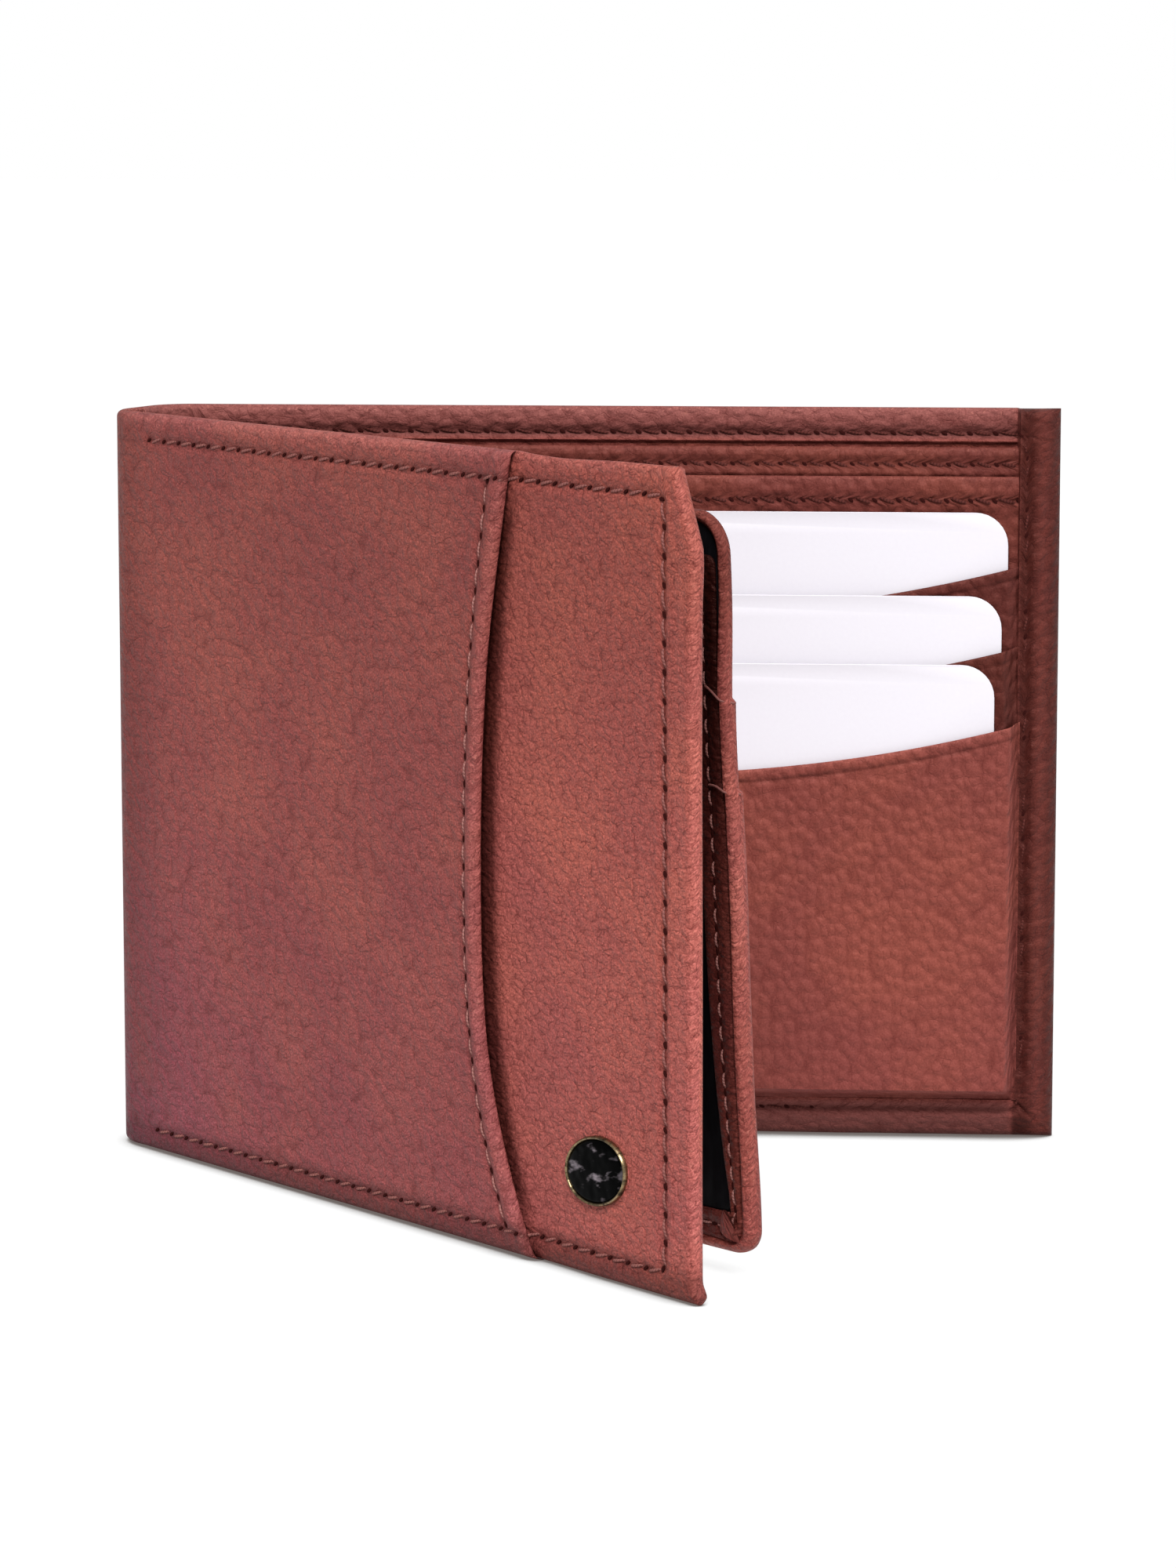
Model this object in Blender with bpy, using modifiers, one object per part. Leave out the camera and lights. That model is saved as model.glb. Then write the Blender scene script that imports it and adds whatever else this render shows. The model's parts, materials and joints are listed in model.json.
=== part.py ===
"""Bifold leather wallet, standing on its bottom edges and partly open.

Each half is modelled flat in its own frame: X runs from the fold line to the free edge, Z is up, and depth is
measured from the outer leather's outer face towards the inside. An empty on each fold line holds one body.
"""

import math

import bmesh
import bpy
from mathutils import Vector

MM = 0.001

# Overall size
HEIGHT = 89.5 * MM
HALF_LENGTH = 109.0 * MM  # from a fold line to the free edge
SPINE_WIDTH = 12.4 * MM  # between the two fold lines
OPEN_ANGLE = math.radians(47.3)  # between the halves
FOLD_BEND = (math.pi - OPEN_ANGLE) / 2  # at each fold line

# Leather and gaps
LEATHER = 0.8 * MM
THIN_LEATHER = 0.4 * MM
LINING = 0.2 * MM
GAP = 0.3 * MM
HEM = 4.3 * MM  # width of a turned edge
FOLD_CLEAR = 0.75 * MM  # from a fold line to the leather beside it
INNER_START = 3.0 * MM  # from a fold line to the inside panels

# Inside of the back half: heights of the panels' top edges at the free edge
DIVIDER_TOP = 84.8 * MM
BACKING_TOP = 81.3 * MM
SLOT_TOPS = (70.6 * MM, 60.9 * MM, 51.6 * MM)
SLOT_SAG = 6.3 * MM  # dip of a slot's mouth at the middle
SLOT_START = 9.0 * MM
SLOT_FOOT = 4.6 * MM

# Blank cards
CARD_SIZE = (85.6 * MM, 51.0 * MM)
CARD_THICK = 0.4 * MM
CARD_CORNER = 4.0 * MM
CARD_RIGHT = (102.8 * MM, 102.1 * MM, 101.3 * MM)
CARD_TOPS = (77.0 * MM, 67.0 * MM, 58.8 * MM)

# Cover
COVER_LAYERS = {
    "pocket": (0.0 * MM, 0.7 * MM),
    "shell": (1.0 * MM, 1.6 * MM),
    "inner": (2.1 * MM, 2.45 * MM),
    "lip": (2.75 * MM, 3.15 * MM),
}
POCKET_WAIST = 72.2 * MM  # narrowest width of the curved pocket panel
POCKET_BOW = (5.6 * MM, 2.6 * MM, -0.8 * MM)  # square, fourth-power and slant terms of its edge
POCKET_WAIST_Z = 46.0 * MM

# Emblem stud
EMBLEM_AT = (92.9 * MM, 12.0 * MM)
EMBLEM_HALF = (5.3 * MM, 3.9 * MM)
EMBLEM_RIM = 0.5 * MM
EMBLEM_PROUD = 0.9 * MM
POST_RADIUS = 0.9 * MM

# Centre flap
FLAP_ANGLE = math.radians(46.0)  # from the back half
FLAP_ROOT = 6.0 * MM  # from the back fold line
FLAP_LENGTH = 98.0 * MM
FLAP_FOOT = 3.1 * MM
FLAP_TOP = 84.0 * MM
FLAP_LAYERS = {
    "slot_2": (0.0 * MM, 0.3 * MM),
    "slot_1": (0.6 * MM, 0.9 * MM),
    "panel": (1.2 * MM, 1.55 * MM),
    "frame": (1.85 * MM, 2.15 * MM),
}
FLAP_SLOT_TOPS = (63.6 * MM, 53.7 * MM)
FLAP_BORDER = 6.0 * MM
FLAP_CORNER = 4.5 * MM

# Thread
THREAD_RADIUS = 0.22 * MM
THREAD_LIFT = 0.3 * MM  # centre line above the leather
SEAM_INSET = 3.1 * MM
SEAM_START = 8.5 * MM

COLOURS = {
    "leather_outer": ((0.30, 0.085, 0.070), 0.50, 0.0),
    "leather_inner": ((0.24, 0.065, 0.052), 0.52, 0.0),
    "lining": ((0.05, 0.030, 0.026), 0.85, 0.0),
    "thread": ((0.075, 0.022, 0.020), 0.65, 0.0),
    "thread_light": ((0.24, 0.10, 0.085), 0.65, 0.0),
    "card": ((0.93, 0.91, 0.95), 0.35, 0.0),
    "window_black": ((0.008, 0.009, 0.010), 0.40, 0.0),
    "brass": ((0.42, 0.34, 0.16), 0.32, 1.0),
    "black_enamel": ((0.006, 0.006, 0.007), 0.12, 0.0),
}


def clear_scene():
    for obj in list(bpy.data.objects):
        bpy.data.objects.remove(obj)


def collection(name):
    made = bpy.data.collections.new(name)
    bpy.context.scene.collection.children.link(made)
    return made


def material(name):
    found = bpy.data.materials.get(name)
    if found:
        return found
    colour, roughness, metallic = COLOURS[name]
    made = bpy.data.materials.new(name)
    made.use_nodes = True
    shader = made.node_tree.nodes["Principled BSDF"]
    shader.inputs["Base Color"].default_value = (*colour, 1.0)
    shader.inputs["Roughness"].default_value = roughness
    shader.inputs["Metallic"].default_value = metallic
    return made


class Body:
    """A rigid group of pieces: an empty on its joint's axis, and the side that faces inside."""

    def __init__(self, name, parent, location, turn, inward):
        self.empty = bpy.data.objects.new(name, None)
        self.empty.parent = parent
        self.empty.location = location
        self.empty.rotation_euler = (0.0, 0.0, turn)
        self.inward = inward
        bpy.context.scene.collection.objects.link(self.empty)

    def hold(self, obj, depth):
        obj.parent = self.empty
        obj.location.y = self.inward * depth
        return obj


def add_object(name, data, finish):
    obj = bpy.data.objects.new(name, data)
    WALLET.objects.link(obj)
    if finish:
        obj.data.materials.append(material(finish))
    return obj


# Outlines: lists of (along, up) points


def rectangle(x0, x1, z0, z1):
    return [(x0, z0), (x1, z0), (x1, z1), (x0, z1)]


def corner_arc(centre, radius, start, steps=5):
    angles = [start + math.pi / 2 * i / steps for i in range(steps + 1)]
    return [(centre[0] + radius * math.cos(a), centre[1] + radius * math.sin(a)) for a in angles]


def rounded(x0, x1, z0, z1, radius):
    """A rectangle with four round corners."""
    return (
        corner_arc((x1 - radius, z0 + radius), radius, -math.pi / 2)
        + corner_arc((x1 - radius, z1 - radius), radius, 0.0)
        + corner_arc((x0 + radius, z1 - radius), radius, math.pi / 2)
        + corner_arc((x0 + radius, z0 + radius), radius, math.pi)
    )


def outer_rounded(x0, x1, z0, z1, radius):
    """A rectangle whose free edge, at x1, has round corners."""
    return (
        [(x0, z0)]
        + corner_arc((x1 - radius, z0 + radius), radius, -math.pi / 2)
        + corner_arc((x1 - radius, z1 - radius), radius, 0.0)
        + [(x0, z1)]
    )


def ellipse(centre, half, count=40):
    turns = [math.tau * i / count for i in range(count)]
    return [(centre[0] + half[0] * math.cos(t), centre[1] + half[1] * math.sin(t)) for t in turns]


def bowed_mouth(x0, x1, foot, top, sag, steps=16):
    """A slot leather: straight sides and foot, and a top edge that dips by sag at its middle."""
    middle, half = (x0 + x1) / 2, (x1 - x0) / 2
    mouth = []
    for i in range(steps + 1):
        x = x1 + (x0 - x1) * i / steps
        mouth.append((x, top - sag * (1 - ((x - middle) / half) ** 2)))
    return [(x0, foot), (x1, foot)] + mouth


def pocket_edge_at(z):
    """How far the cover's curved pocket panel reaches at height z."""
    square, fourth, slant = POCKET_BOW
    t = (z - POCKET_WAIST_Z) / (POCKET_WAIST_Z - 2 * MM)
    return POCKET_WAIST + square * t**2 + fourth * t**4 + slant * t


def pocket_outline(steps=20):
    edge = [(pocket_edge_at(HEIGHT * i / steps), HEIGHT * i / steps) for i in range(steps + 1)]
    return [(FOLD_CLEAR, 0.0)] + edge + [(FOLD_CLEAR, HEIGHT)]


# Pieces


def sheet(name, body, outline, layer, finish, hole=None):
    """A flat piece cut to an outline, lying between two depths."""
    curve = bpy.data.curves.new(name, "CURVE")
    curve.dimensions = "2D"
    curve.fill_mode = "BOTH"
    curve.extrude = (layer[1] - layer[0]) / 2
    for points in filter(None, (outline, hole)):
        spline = curve.splines.new("POLY")
        spline.points.add(len(points) - 1)
        spline.use_cyclic_u = True
        for point, (x, z) in zip(spline.points, points):
            point.co = (x, z, 0.0, 1.0)
    obj = add_object(name, curve, finish)
    obj.rotation_euler = (math.pi / 2, 0.0, 0.0)
    return body.hold(obj, (layer[0] + layer[1]) / 2)


def box_mesh(name, low, high):
    mesh = bpy.data.meshes.new(name)
    bm = bmesh.new()
    bmesh.ops.create_cube(bm, size=1.0)
    size = [h - l for l, h in zip(low, high)]
    bmesh.ops.scale(bm, vec=size, verts=bm.verts)
    bmesh.ops.translate(bm, vec=[(h + l) / 2 for l, h in zip(low, high)], verts=bm.verts)
    bm.to_mesh(mesh)
    bm.free()
    return mesh


def depth_box(name, body, x, z, layer):
    """A box mesh over the given spans, with its depth turned to the body's inward side."""
    y = sorted(body.inward * d for d in layer)
    return box_mesh(name, (x[0], y[0], z[0]), (x[1], y[1], z[1]))


def cut(obj, body, cutter_mesh):
    cutter = bpy.data.objects.new(cutter_mesh.name, cutter_mesh)
    CUTTERS.objects.link(cutter)
    cutter.parent = body.empty
    cutter.hide_render = True
    cutter.display_type = "WIRE"
    modifier = obj.modifiers.new(cutter_mesh.name, "BOOLEAN")
    modifier.operation = "DIFFERENCE"
    modifier.solver = "EXACT"
    modifier.object = cutter


def turned_shell(name, body, outer, lip, finish):
    """An outer leather with its top, free edge and bottom turned in over the panels inside.

    A block over the whole depth is hollowed, which leaves the leather, the turned walls and their lip."""
    wall = outer[1] - outer[0]
    x = (FOLD_CLEAR, HALF_LENGTH)
    obj = add_object(name, depth_box(name, body, x, (0.0, HEIGHT), (outer[0], lip[1])), finish)
    obj.parent = body.empty
    before, beyond = FOLD_CLEAR - 1 * MM, HEIGHT + 1 * MM
    channel = ((before, HALF_LENGTH - wall), (wall, HEIGHT - HEM + 0.1 * MM), (outer[1], lip[0]))
    front = ((before, HALF_LENGTH - HEM), (HEM, beyond), (lip[0] - 0.05 * MM, lip[1] + 1 * MM))
    top = ((before, HALF_LENGTH - wall), (HEIGHT - HEM, beyond), (outer[1] + THIN_LEATHER, lip[1] + 1 * MM))
    for part, (xs, zs, layer) in (("channel", channel), ("front", front), ("top", top)):
        cut(obj, body, depth_box(f"{name}_{part}_cutter", body, xs, zs, layer))
    return obj


def seam(name, body, path, depth, finish="thread"):
    """A line of thread along a path of (along, up) points."""
    curve = bpy.data.curves.new(name, "CURVE")
    curve.dimensions = "3D"
    curve.bevel_depth = THREAD_RADIUS
    curve.bevel_resolution = 1
    curve.use_fill_caps = True
    spline = curve.splines.new("POLY")
    spline.points.add(len(path) - 1)
    for point, (x, z) in zip(spline.points, path):
        point.co = (x, 0.0, z, 1.0)
    return body.hold(add_object(name, curve, finish), depth)


def perimeter_path():
    """Along the bottom, round the free edge and back along the top."""
    x, low, high = HALF_LENGTH - HEM - 0.4 * MM, 2.6 * MM, HEIGHT - SEAM_INSET
    radius = 1.5 * MM
    return (
        [(SEAM_START, low)]
        + corner_arc((x - radius, low + radius), radius, -math.pi / 2, 3)
        + corner_arc((x - radius, high - radius), radius, 0.0, 3)
        + [(SEAM_START, high)]
    )


def level_path(x0, x1, z):
    return [(x0, z), (x1, z)]


# The wallet's bodies


def build_back(body):
    sheet_end = HALF_LENGTH - HEM - GAP
    tuck_end = HALF_LENGTH - LEATHER - GAP
    lining = (LEATHER + GAP, LEATHER + GAP + LINING)
    divider = (lining[1] + GAP, lining[1] + GAP + THIN_LEATHER)
    backing = (divider[1] + GAP, divider[1] + GAP + THIN_LEATHER)
    lip = (backing[1] + GAP, backing[1] + GAP + LEATHER)

    turned_shell("back_shell", body, (0.0, LEATHER), lip, "leather_outer")
    foot = LEATHER + GAP
    panels = (
        ("back_lining", HEIGHT - HEM - GAP, lining, "lining"),
        ("bill_divider", DIVIDER_TOP, divider, "leather_inner"),
        ("slot_backing", BACKING_TOP, backing, "leather_inner"),
    )
    for name, top, layer, finish in panels:
        sheet(name, body, rectangle(INNER_START, tuck_end, foot, top), layer, finish)

    seam_end = HALF_LENGTH - HEM - 2 * GAP
    seam("bill_divider_thread", body, level_path(SEAM_START, seam_end, DIVIDER_TOP - 2 * MM),
         divider[1] + THREAD_LIFT)
    seam("slot_backing_thread", body, level_path(SLOT_START, seam_end, BACKING_TOP - 3 * MM),
         backing[1] + THREAD_LIFT)

    gusset_layer = (backing[1] + GAP, flap_depth() - GAP - THIN_LEATHER)
    x = (FLAP_ROOT - THIN_LEATHER, FLAP_ROOT + THIN_LEATHER)
    gusset = add_object(
        "flap_gusset", depth_box("flap_gusset", body, x, (FLAP_FOOT + 2 * MM, FLAP_TOP - 4 * MM), gusset_layer),
        "leather_inner")
    gusset.parent = body.empty

    level = backing[1] + GAP
    for i, top in enumerate(SLOT_TOPS):
        card = (level + GAP, level + GAP + CARD_THICK)
        slot = (card[1] + GAP, card[1] + GAP + THIN_LEATHER)
        number = i + 1
        outline = bowed_mouth(SLOT_START, sheet_end, SLOT_FOOT, top, SLOT_SAG)
        sheet(f"card_slot_{number}", body, outline, slot, "leather_inner")
        right, card_top = CARD_RIGHT[i], CARD_TOPS[i]
        outline = rounded(right - CARD_SIZE[0], right, card_top - CARD_SIZE[1], card_top, CARD_CORNER)
        sheet(f"card_{number}", body, outline, card, "card")
        level = slot[1]


def build_spine(body):
    """The strip between the fold lines has round long edges, so that it turns in place beside the leather."""
    radius = LEATHER / 2
    leather = add_object("spine_leather", box_mesh(
        "spine_leather", (-radius, -radius, 0.0), (SPINE_WIDTH + radius, radius, HEIGHT)), "leather_outer")
    leather.parent = body.empty
    rounding = leather.modifiers.new("round_edges", "BEVEL")
    rounding.width = radius * 0.98
    rounding.segments = 4
    rounding.limit_method = "WEIGHT"
    weights = leather.data.attributes.new("bevel_weight_edge", "FLOAT", "EDGE")
    for edge in leather.data.edges:
        ends = [leather.data.vertices[v].co for v in edge.vertices]
        weights.data[edge.index].value = 1.0 if abs(ends[0].z - ends[1].z) > radius else 0.0
    start = 2.0 * MM
    sheet("spine_lining", body, rectangle(start, SPINE_WIDTH - start, HEM + GAP, HEIGHT - HEM - GAP),
          (radius + GAP, radius + GAP + LINING), "lining")


def build_cover(body):
    layers = COVER_LAYERS
    shell = turned_shell("cover_shell", body, layers["shell"], layers["lip"], "leather_outer")
    cut(shell, body, post_cutter(body))
    sheet("cover_pocket_panel", body, pocket_outline(), layers["pocket"], "leather_outer")
    tuck_end = HALF_LENGTH - 0.6 * MM - GAP
    sheet("cover_inner_panel", body, rectangle(INNER_START, tuck_end, 0.9 * MM, DIVIDER_TOP),
          layers["inner"], "leather_inner")
    thread_depth = layers["pocket"][0] - THREAD_LIFT
    seam("cover_outer_thread", body, perimeter_path(), thread_depth)
    steps = 16
    low, high = 2.6 * MM + 1 * MM, HEIGHT - SEAM_INSET - 1 * MM
    heights = [low + (high - low) * i / steps for i in range(steps + 1)]
    seam("pocket_edge_thread", body, [(pocket_edge_at(z) - SEAM_INSET, z) for z in heights],
         thread_depth, "thread_light")
    build_emblem(body, layers["shell"][0])


def post_cutter(body):
    mesh = bpy.data.meshes.new("post_cutter")
    bm = bmesh.new()
    bmesh.ops.create_cone(bm, cap_ends=True, segments=24, radius1=POST_RADIUS + GAP,
                          radius2=POST_RADIUS + GAP, depth=4 * MM)
    stand(bm, (EMBLEM_AT[0], body.inward * 1.3 * MM, EMBLEM_AT[1]))
    bm.to_mesh(mesh)
    bm.free()
    return mesh


def stand(bm, centre):
    """Turns a shape made along Z to lie along the depth, and moves it to a centre."""
    for vert in bm.verts:
        x, y, z = vert.co
        vert.co = Vector((x, -z, y)) + Vector(centre)


def build_emblem(body, surface):
    """An oval stud: a rim and a domed face on the leather, and the post that holds it."""
    back = surface - GAP
    front = back - EMBLEM_PROUD
    inner = tuple(h - EMBLEM_RIM for h in EMBLEM_HALF)
    sheet("emblem_rim", body, ellipse(EMBLEM_AT, EMBLEM_HALF), (front, back), "brass",
          hole=ellipse(EMBLEM_AT, inner))

    mesh = bpy.data.meshes.new("emblem_face")
    bm = bmesh.new()
    bmesh.ops.create_uvsphere(bm, u_segments=32, v_segments=16, radius=1.0)
    face_half = [h - 0.2 * MM for h in inner]
    bmesh.ops.scale(bm, vec=(face_half[0], face_half[1], EMBLEM_PROUD), verts=bm.verts)
    bmesh.ops.bisect_plane(
        bm, geom=bm.verts[:] + bm.edges[:] + bm.faces[:], plane_co=(0, 0, 0), plane_no=(0, 0, 1),
        clear_inner=True)
    bmesh.ops.holes_fill(bm, edges=[edge for edge in bm.edges if edge.is_boundary])
    bmesh.ops.recalc_face_normals(bm, faces=bm.faces)
    bm.to_mesh(mesh)
    bm.free()
    face = add_object("emblem_face", mesh, "black_enamel")
    face.rotation_euler = (math.pi / 2, 0.0, 0.0)
    face.location = (EMBLEM_AT[0], 0.0, EMBLEM_AT[1])
    body.hold(face, back)
    mesh.shade_smooth()

    mesh = bpy.data.meshes.new("emblem_post")
    bm = bmesh.new()
    length = 0.9 * MM
    bmesh.ops.create_cone(bm, cap_ends=True, segments=24, radius1=POST_RADIUS, radius2=POST_RADIUS,
                          depth=length)
    stand(bm, (EMBLEM_AT[0], body.inward * (back + 0.1 * MM + length / 2), EMBLEM_AT[1]))
    bm.to_mesh(mesh)
    bm.free()
    post = add_object("emblem_post", mesh, "brass")
    post.parent = body.empty


def flap_depth():
    """Depth of the flap's turning axis from the back half's outer face."""
    slot_layer = GAP + CARD_THICK + GAP + THIN_LEATHER
    panels = LEATHER + GAP + LINING + 2 * (GAP + THIN_LEATHER) + GAP
    return panels + len(SLOT_TOPS) * slot_layer + GAP + FLAP_LAYERS["frame"][1] / 2


def build_flap(body):
    """Depths of the flap run from the side that faces the back half to the side that faces the cover."""
    half = FLAP_LAYERS["frame"][1] / 2
    layers = {name: (low - half, high - half) for name, (low, high) in FLAP_LAYERS.items()}
    start = INNER_START
    outline = outer_rounded(0.0, FLAP_LENGTH, FLAP_FOOT, FLAP_TOP, FLAP_CORNER)
    sheet("flap_panel", body, outline, layers["panel"], "leather_inner")
    frame = outer_rounded(start, FLAP_LENGTH, FLAP_FOOT, FLAP_TOP, FLAP_CORNER)
    window = (start + FLAP_BORDER, FLAP_LENGTH - FLAP_BORDER, FLAP_FOOT + FLAP_BORDER, FLAP_TOP - FLAP_BORDER)
    sheet("window_frame", body, frame, layers["frame"], "leather_inner", hole=rounded(*window, 2 * MM))
    inset = (window[0] + GAP, window[1] - GAP, window[2] + GAP, window[3] - GAP)
    sheet("window_lining", body, rounded(*inset, 2 * MM), (layers["panel"][1] + GAP, layers["frame"][1]),
          "window_black")
    for number, top in enumerate(FLAP_SLOT_TOPS, start=1):
        outline = rectangle(start, FLAP_LENGTH - 0.8 * MM, FLAP_FOOT + FLAP_CORNER, top)
        sheet(f"flap_slot_{number}", body, outline, layers[f"slot_{number}"], "leather_inner")
    x, low, high = FLAP_LENGTH - 2 * MM, FLAP_FOOT + 2 * MM, FLAP_TOP - 2 * MM
    radius = FLAP_CORNER - 2 * MM
    path = (
        [(start + 1 * MM, low)]
        + corner_arc((x - radius, low + radius), radius, -math.pi / 2, 3)
        + corner_arc((x - radius, high - radius), radius, 0.0, 3)
        + [(start + 1 * MM, high)]
    )
    seam("window_frame_thread", body, path, layers["frame"][1] + THREAD_LIFT, "thread_light")


def centre_on_base(root):
    """Moves the whole wallet so that the origin is at the middle of its base."""
    bpy.context.view_layer.update()
    graph = bpy.context.evaluated_depsgraph_get()
    corners = []
    for obj in WALLET.objects:
        shown = obj.evaluated_get(graph)
        corners += [shown.matrix_world @ vert.co for vert in shown.to_mesh().vertices]
        shown.to_mesh_clear()
    low = [min(c[i] for c in corners) for i in range(3)]
    high = [max(c[i] for c in corners) for i in range(3)]
    root.location = (-(low[0] + high[0]) / 2, -(low[1] + high[1]) / 2, -low[2])
    bpy.context.view_layer.update()


clear_scene()
WALLET = collection("bifold_wallet")
CUTTERS = collection("cutters")

root = bpy.data.objects.new("wallet_root", None)
bpy.context.scene.collection.objects.link(root)
fold_depth = LEATHER / 2
back = Body("back", root, (0.0, 0.0, 0.0), 0.0, -1)
spine = Body("spine", root, (0.0, -fold_depth, 0.0), math.pi + FOLD_BEND, 1)
cover_turn = Body("cover_turn", spine.empty, (SPINE_WIDTH, 0.0, 0.0), FOLD_BEND, 1)
cover = Body("cover", cover_turn.empty, (0.0, -fold_depth, 0.0), 0.0, 1)
flap = Body("flap", root, (FLAP_ROOT, -flap_depth(), 0.0), -FLAP_ANGLE, -1)
build_back(back)
build_spine(spine)
build_cover(cover)
build_flap(flap)
centre_on_base(root)
for pivot in (spine, cover_turn, flap):
    place = pivot.empty.matrix_world.translation
    print(pivot.empty.name, "turns about", [round(v, 6) for v in place])
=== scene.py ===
"""Looks of the bifold wallet: leather, seams, cards, stud and the studio round it.

Each half of the wallet is laid out flat in millimetres: u runs from the fold line to the free edge, z is up,
and n is the depth from the outer face inwards. A place turns (u, n, z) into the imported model's metres.
"""

import json
import math
from functools import reduce

import bmesh
import bpy
import numpy as np
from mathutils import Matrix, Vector


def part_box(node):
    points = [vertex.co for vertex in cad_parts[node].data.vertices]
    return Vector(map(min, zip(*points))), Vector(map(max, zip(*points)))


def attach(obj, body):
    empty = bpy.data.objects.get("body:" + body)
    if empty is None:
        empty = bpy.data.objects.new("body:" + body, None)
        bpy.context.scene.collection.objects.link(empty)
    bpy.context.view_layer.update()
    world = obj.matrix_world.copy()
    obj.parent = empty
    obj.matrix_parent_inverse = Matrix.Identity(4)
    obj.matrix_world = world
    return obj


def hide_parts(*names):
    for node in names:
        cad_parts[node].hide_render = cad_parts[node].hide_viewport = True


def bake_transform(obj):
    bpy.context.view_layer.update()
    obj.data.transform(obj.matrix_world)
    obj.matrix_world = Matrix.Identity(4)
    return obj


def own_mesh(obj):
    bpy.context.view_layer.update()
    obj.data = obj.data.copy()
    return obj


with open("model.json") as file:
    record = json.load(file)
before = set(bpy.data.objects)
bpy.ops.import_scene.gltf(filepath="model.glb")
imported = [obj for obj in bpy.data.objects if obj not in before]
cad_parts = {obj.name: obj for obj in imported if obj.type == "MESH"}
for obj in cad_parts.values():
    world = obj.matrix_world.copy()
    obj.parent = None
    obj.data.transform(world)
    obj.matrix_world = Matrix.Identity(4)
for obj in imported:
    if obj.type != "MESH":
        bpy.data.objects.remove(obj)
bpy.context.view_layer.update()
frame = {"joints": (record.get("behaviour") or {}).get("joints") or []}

MM = 0.001
JOINT = {joint["name"]: np.array(joint["pos_m"][:2]) for joint in frame["joints"] if "pos_m" in joint}

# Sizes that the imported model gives, in millimetres
BACK_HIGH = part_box("back_shell")[1]
HEIGHT = BACK_HIGH[2] / MM
LENGTH = (BACK_HIGH[0] - JOINT["spine_fold"][0]) / MM
SPINE = np.linalg.norm(JOINT["cover_fold"] - JOINT["spine_fold"]) / MM
PIVOT_DEPTH = 0.4

# Angles of the cover and the flap from the back half
COVER_ANGLE = math.radians(47.3)
FLAP_ANGLE = math.radians(46.0)
FLAP_TWIST = math.radians(2.7)

# Back half
LEATHER = 0.8  # its thickness
HEM = 4.4
BACK_HEM = 5.1
HEM_LIP = 3.8
EDGE_LIP = 2.4
TOP_HEM = 1.25
HEM_SLOPE = 3.2
FOOT_ROUND, TOP_ROUND = 1.15, 0.65  # of the outer leather's edges
PANEL_START = 3.0
PANEL_END = LENGTH - HEM - 0.15
DIVIDER = (1.6, 2.0, 84.8)  # depth of its two faces and its top
BACKING = (2.3, 2.7, 81.3)
SLOT_DEPTHS = (4.4, 5.8, 7.2)
SLOT_TOPS = (70.6, 60.9, 51.6)
SLOT_SAG = 6.3
SLOT_START = 9.0
SLOT_END = 104.45
# Painted shade over the faces of the two upper slots, which lie deep between the others.
SLOT_DARK, SLOT_SHADOW = (0.8, 1.0, 0.0), (0.3, 0.3, 0.0)
MOUTH_END = 104.4
CARD_RIGHT = (102.8, 102.1, 101.3)
CARD_TOPS = (77.0, 67.0, 58.8)
SLOT_DIVES = (CARD_RIGHT[0] + 0.1, CARD_RIGHT[1] + 0.1, 103.0)  # where each slot leather dives to its seam
CARD_SIZE = (85.6, 51.0)
CARD_DEPTHS = (3.3, 4.7, 6.1)

# Cover
BASE_FACE = 1.0
COVER_LIP = 3.15
COVER_LEAN = 0.5
COVER_INSIDE = (2.1, 2.45, DIVIDER[2])
POCKET_THICK = 0.66
POCKET_BEAD = 3.3  # from the pocket's edge to its seam
POCKET_WAIST, POCKET_WAIST_Z = 73.4, 42.0
EMBLEM_AT = (92.9, 12.0)
EMBLEM_HALF = (5.3, 3.9)
EMBLEM_TILT = math.radians(12.0)

# Flap
FLAP_END = 97.5
FLAP_FOOT, FLAP_TOP = 2.1, 84.0
FLAP_CORNERS = (2.9, 4.6)
FLAP_SLOT_TOPS = (63.6, 53.7)
WINDOW = (9.0, 94.1, 6.6, 78.2)
FRAME_SECTION = ((0.0, 0.42), (0.0, 0.72), (0.05, 0.92), (0.18, 1.02), (0.36, 0.98), (0.46, 0.82),
                 (0.5, 0.78), (0.54, 0.82), (0.64, 0.98), (0.82, 1.0), (0.94, 0.92), (1.0, 0.74), (1.0, 0.42))

# Studio
FILL = 0.45  # strength of the light from all round

# Texture space
BACK_FACE_SHIFT = 37.0  # keeps a sheet's inner face from repeating its outer one

# Grids, in millimetres between lines, and the points round a stitch
FINE, FINE_Z, DENSE = 0.8, 0.7, 0.35
SPOKES = 8
MOUTH_ROWS = np.array([0, 0.06, 0.15, 0.28, 0.45, 0.7, 0.95, 1.15, 1.35, 1.5, 1.65, 1.85, 2.2, 2.7, 3.4])

# Folds and seams
FOLD_RADIUS = 6.0
PITCH = 3.1
SEAM_TOP = HEIGHT - 3.1
SEAM_FOOT = 2.7
SEAM_SIDE = LENGTH - 4.7
BACK_SEAM_SIDE, BACK_SEAM_FOOT = LENGTH - 4.0, 3.6
SEAM_START = 8.5
LINING_Z = (4.6, 83.9)
LINING_END = LENGTH - 5.0


# Places


def matched(*values):
    """The values as arrays of one shape."""
    return np.broadcast_arrays(*(np.asarray(value, float) for value in values))


def upright(flat, z):
    """Points in metres above places on the ground."""
    return np.concatenate([flat, z[..., None] * MM], axis=-1)


class Plane:
    """A flat half: turns (u, n, z) in millimetres into points in metres."""

    def __init__(self, origin, along, inward):
        self.origin = np.array(origin, float)
        self.along = np.array(along, float)
        self.inward = np.array(inward, float)

    def __call__(self, u, n, z):
        u, n, z = matched(u, n, z)
        flat = self.origin + (u[..., None] * self.along + n[..., None] * self.inward) * MM
        return upright(flat, z)


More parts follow.
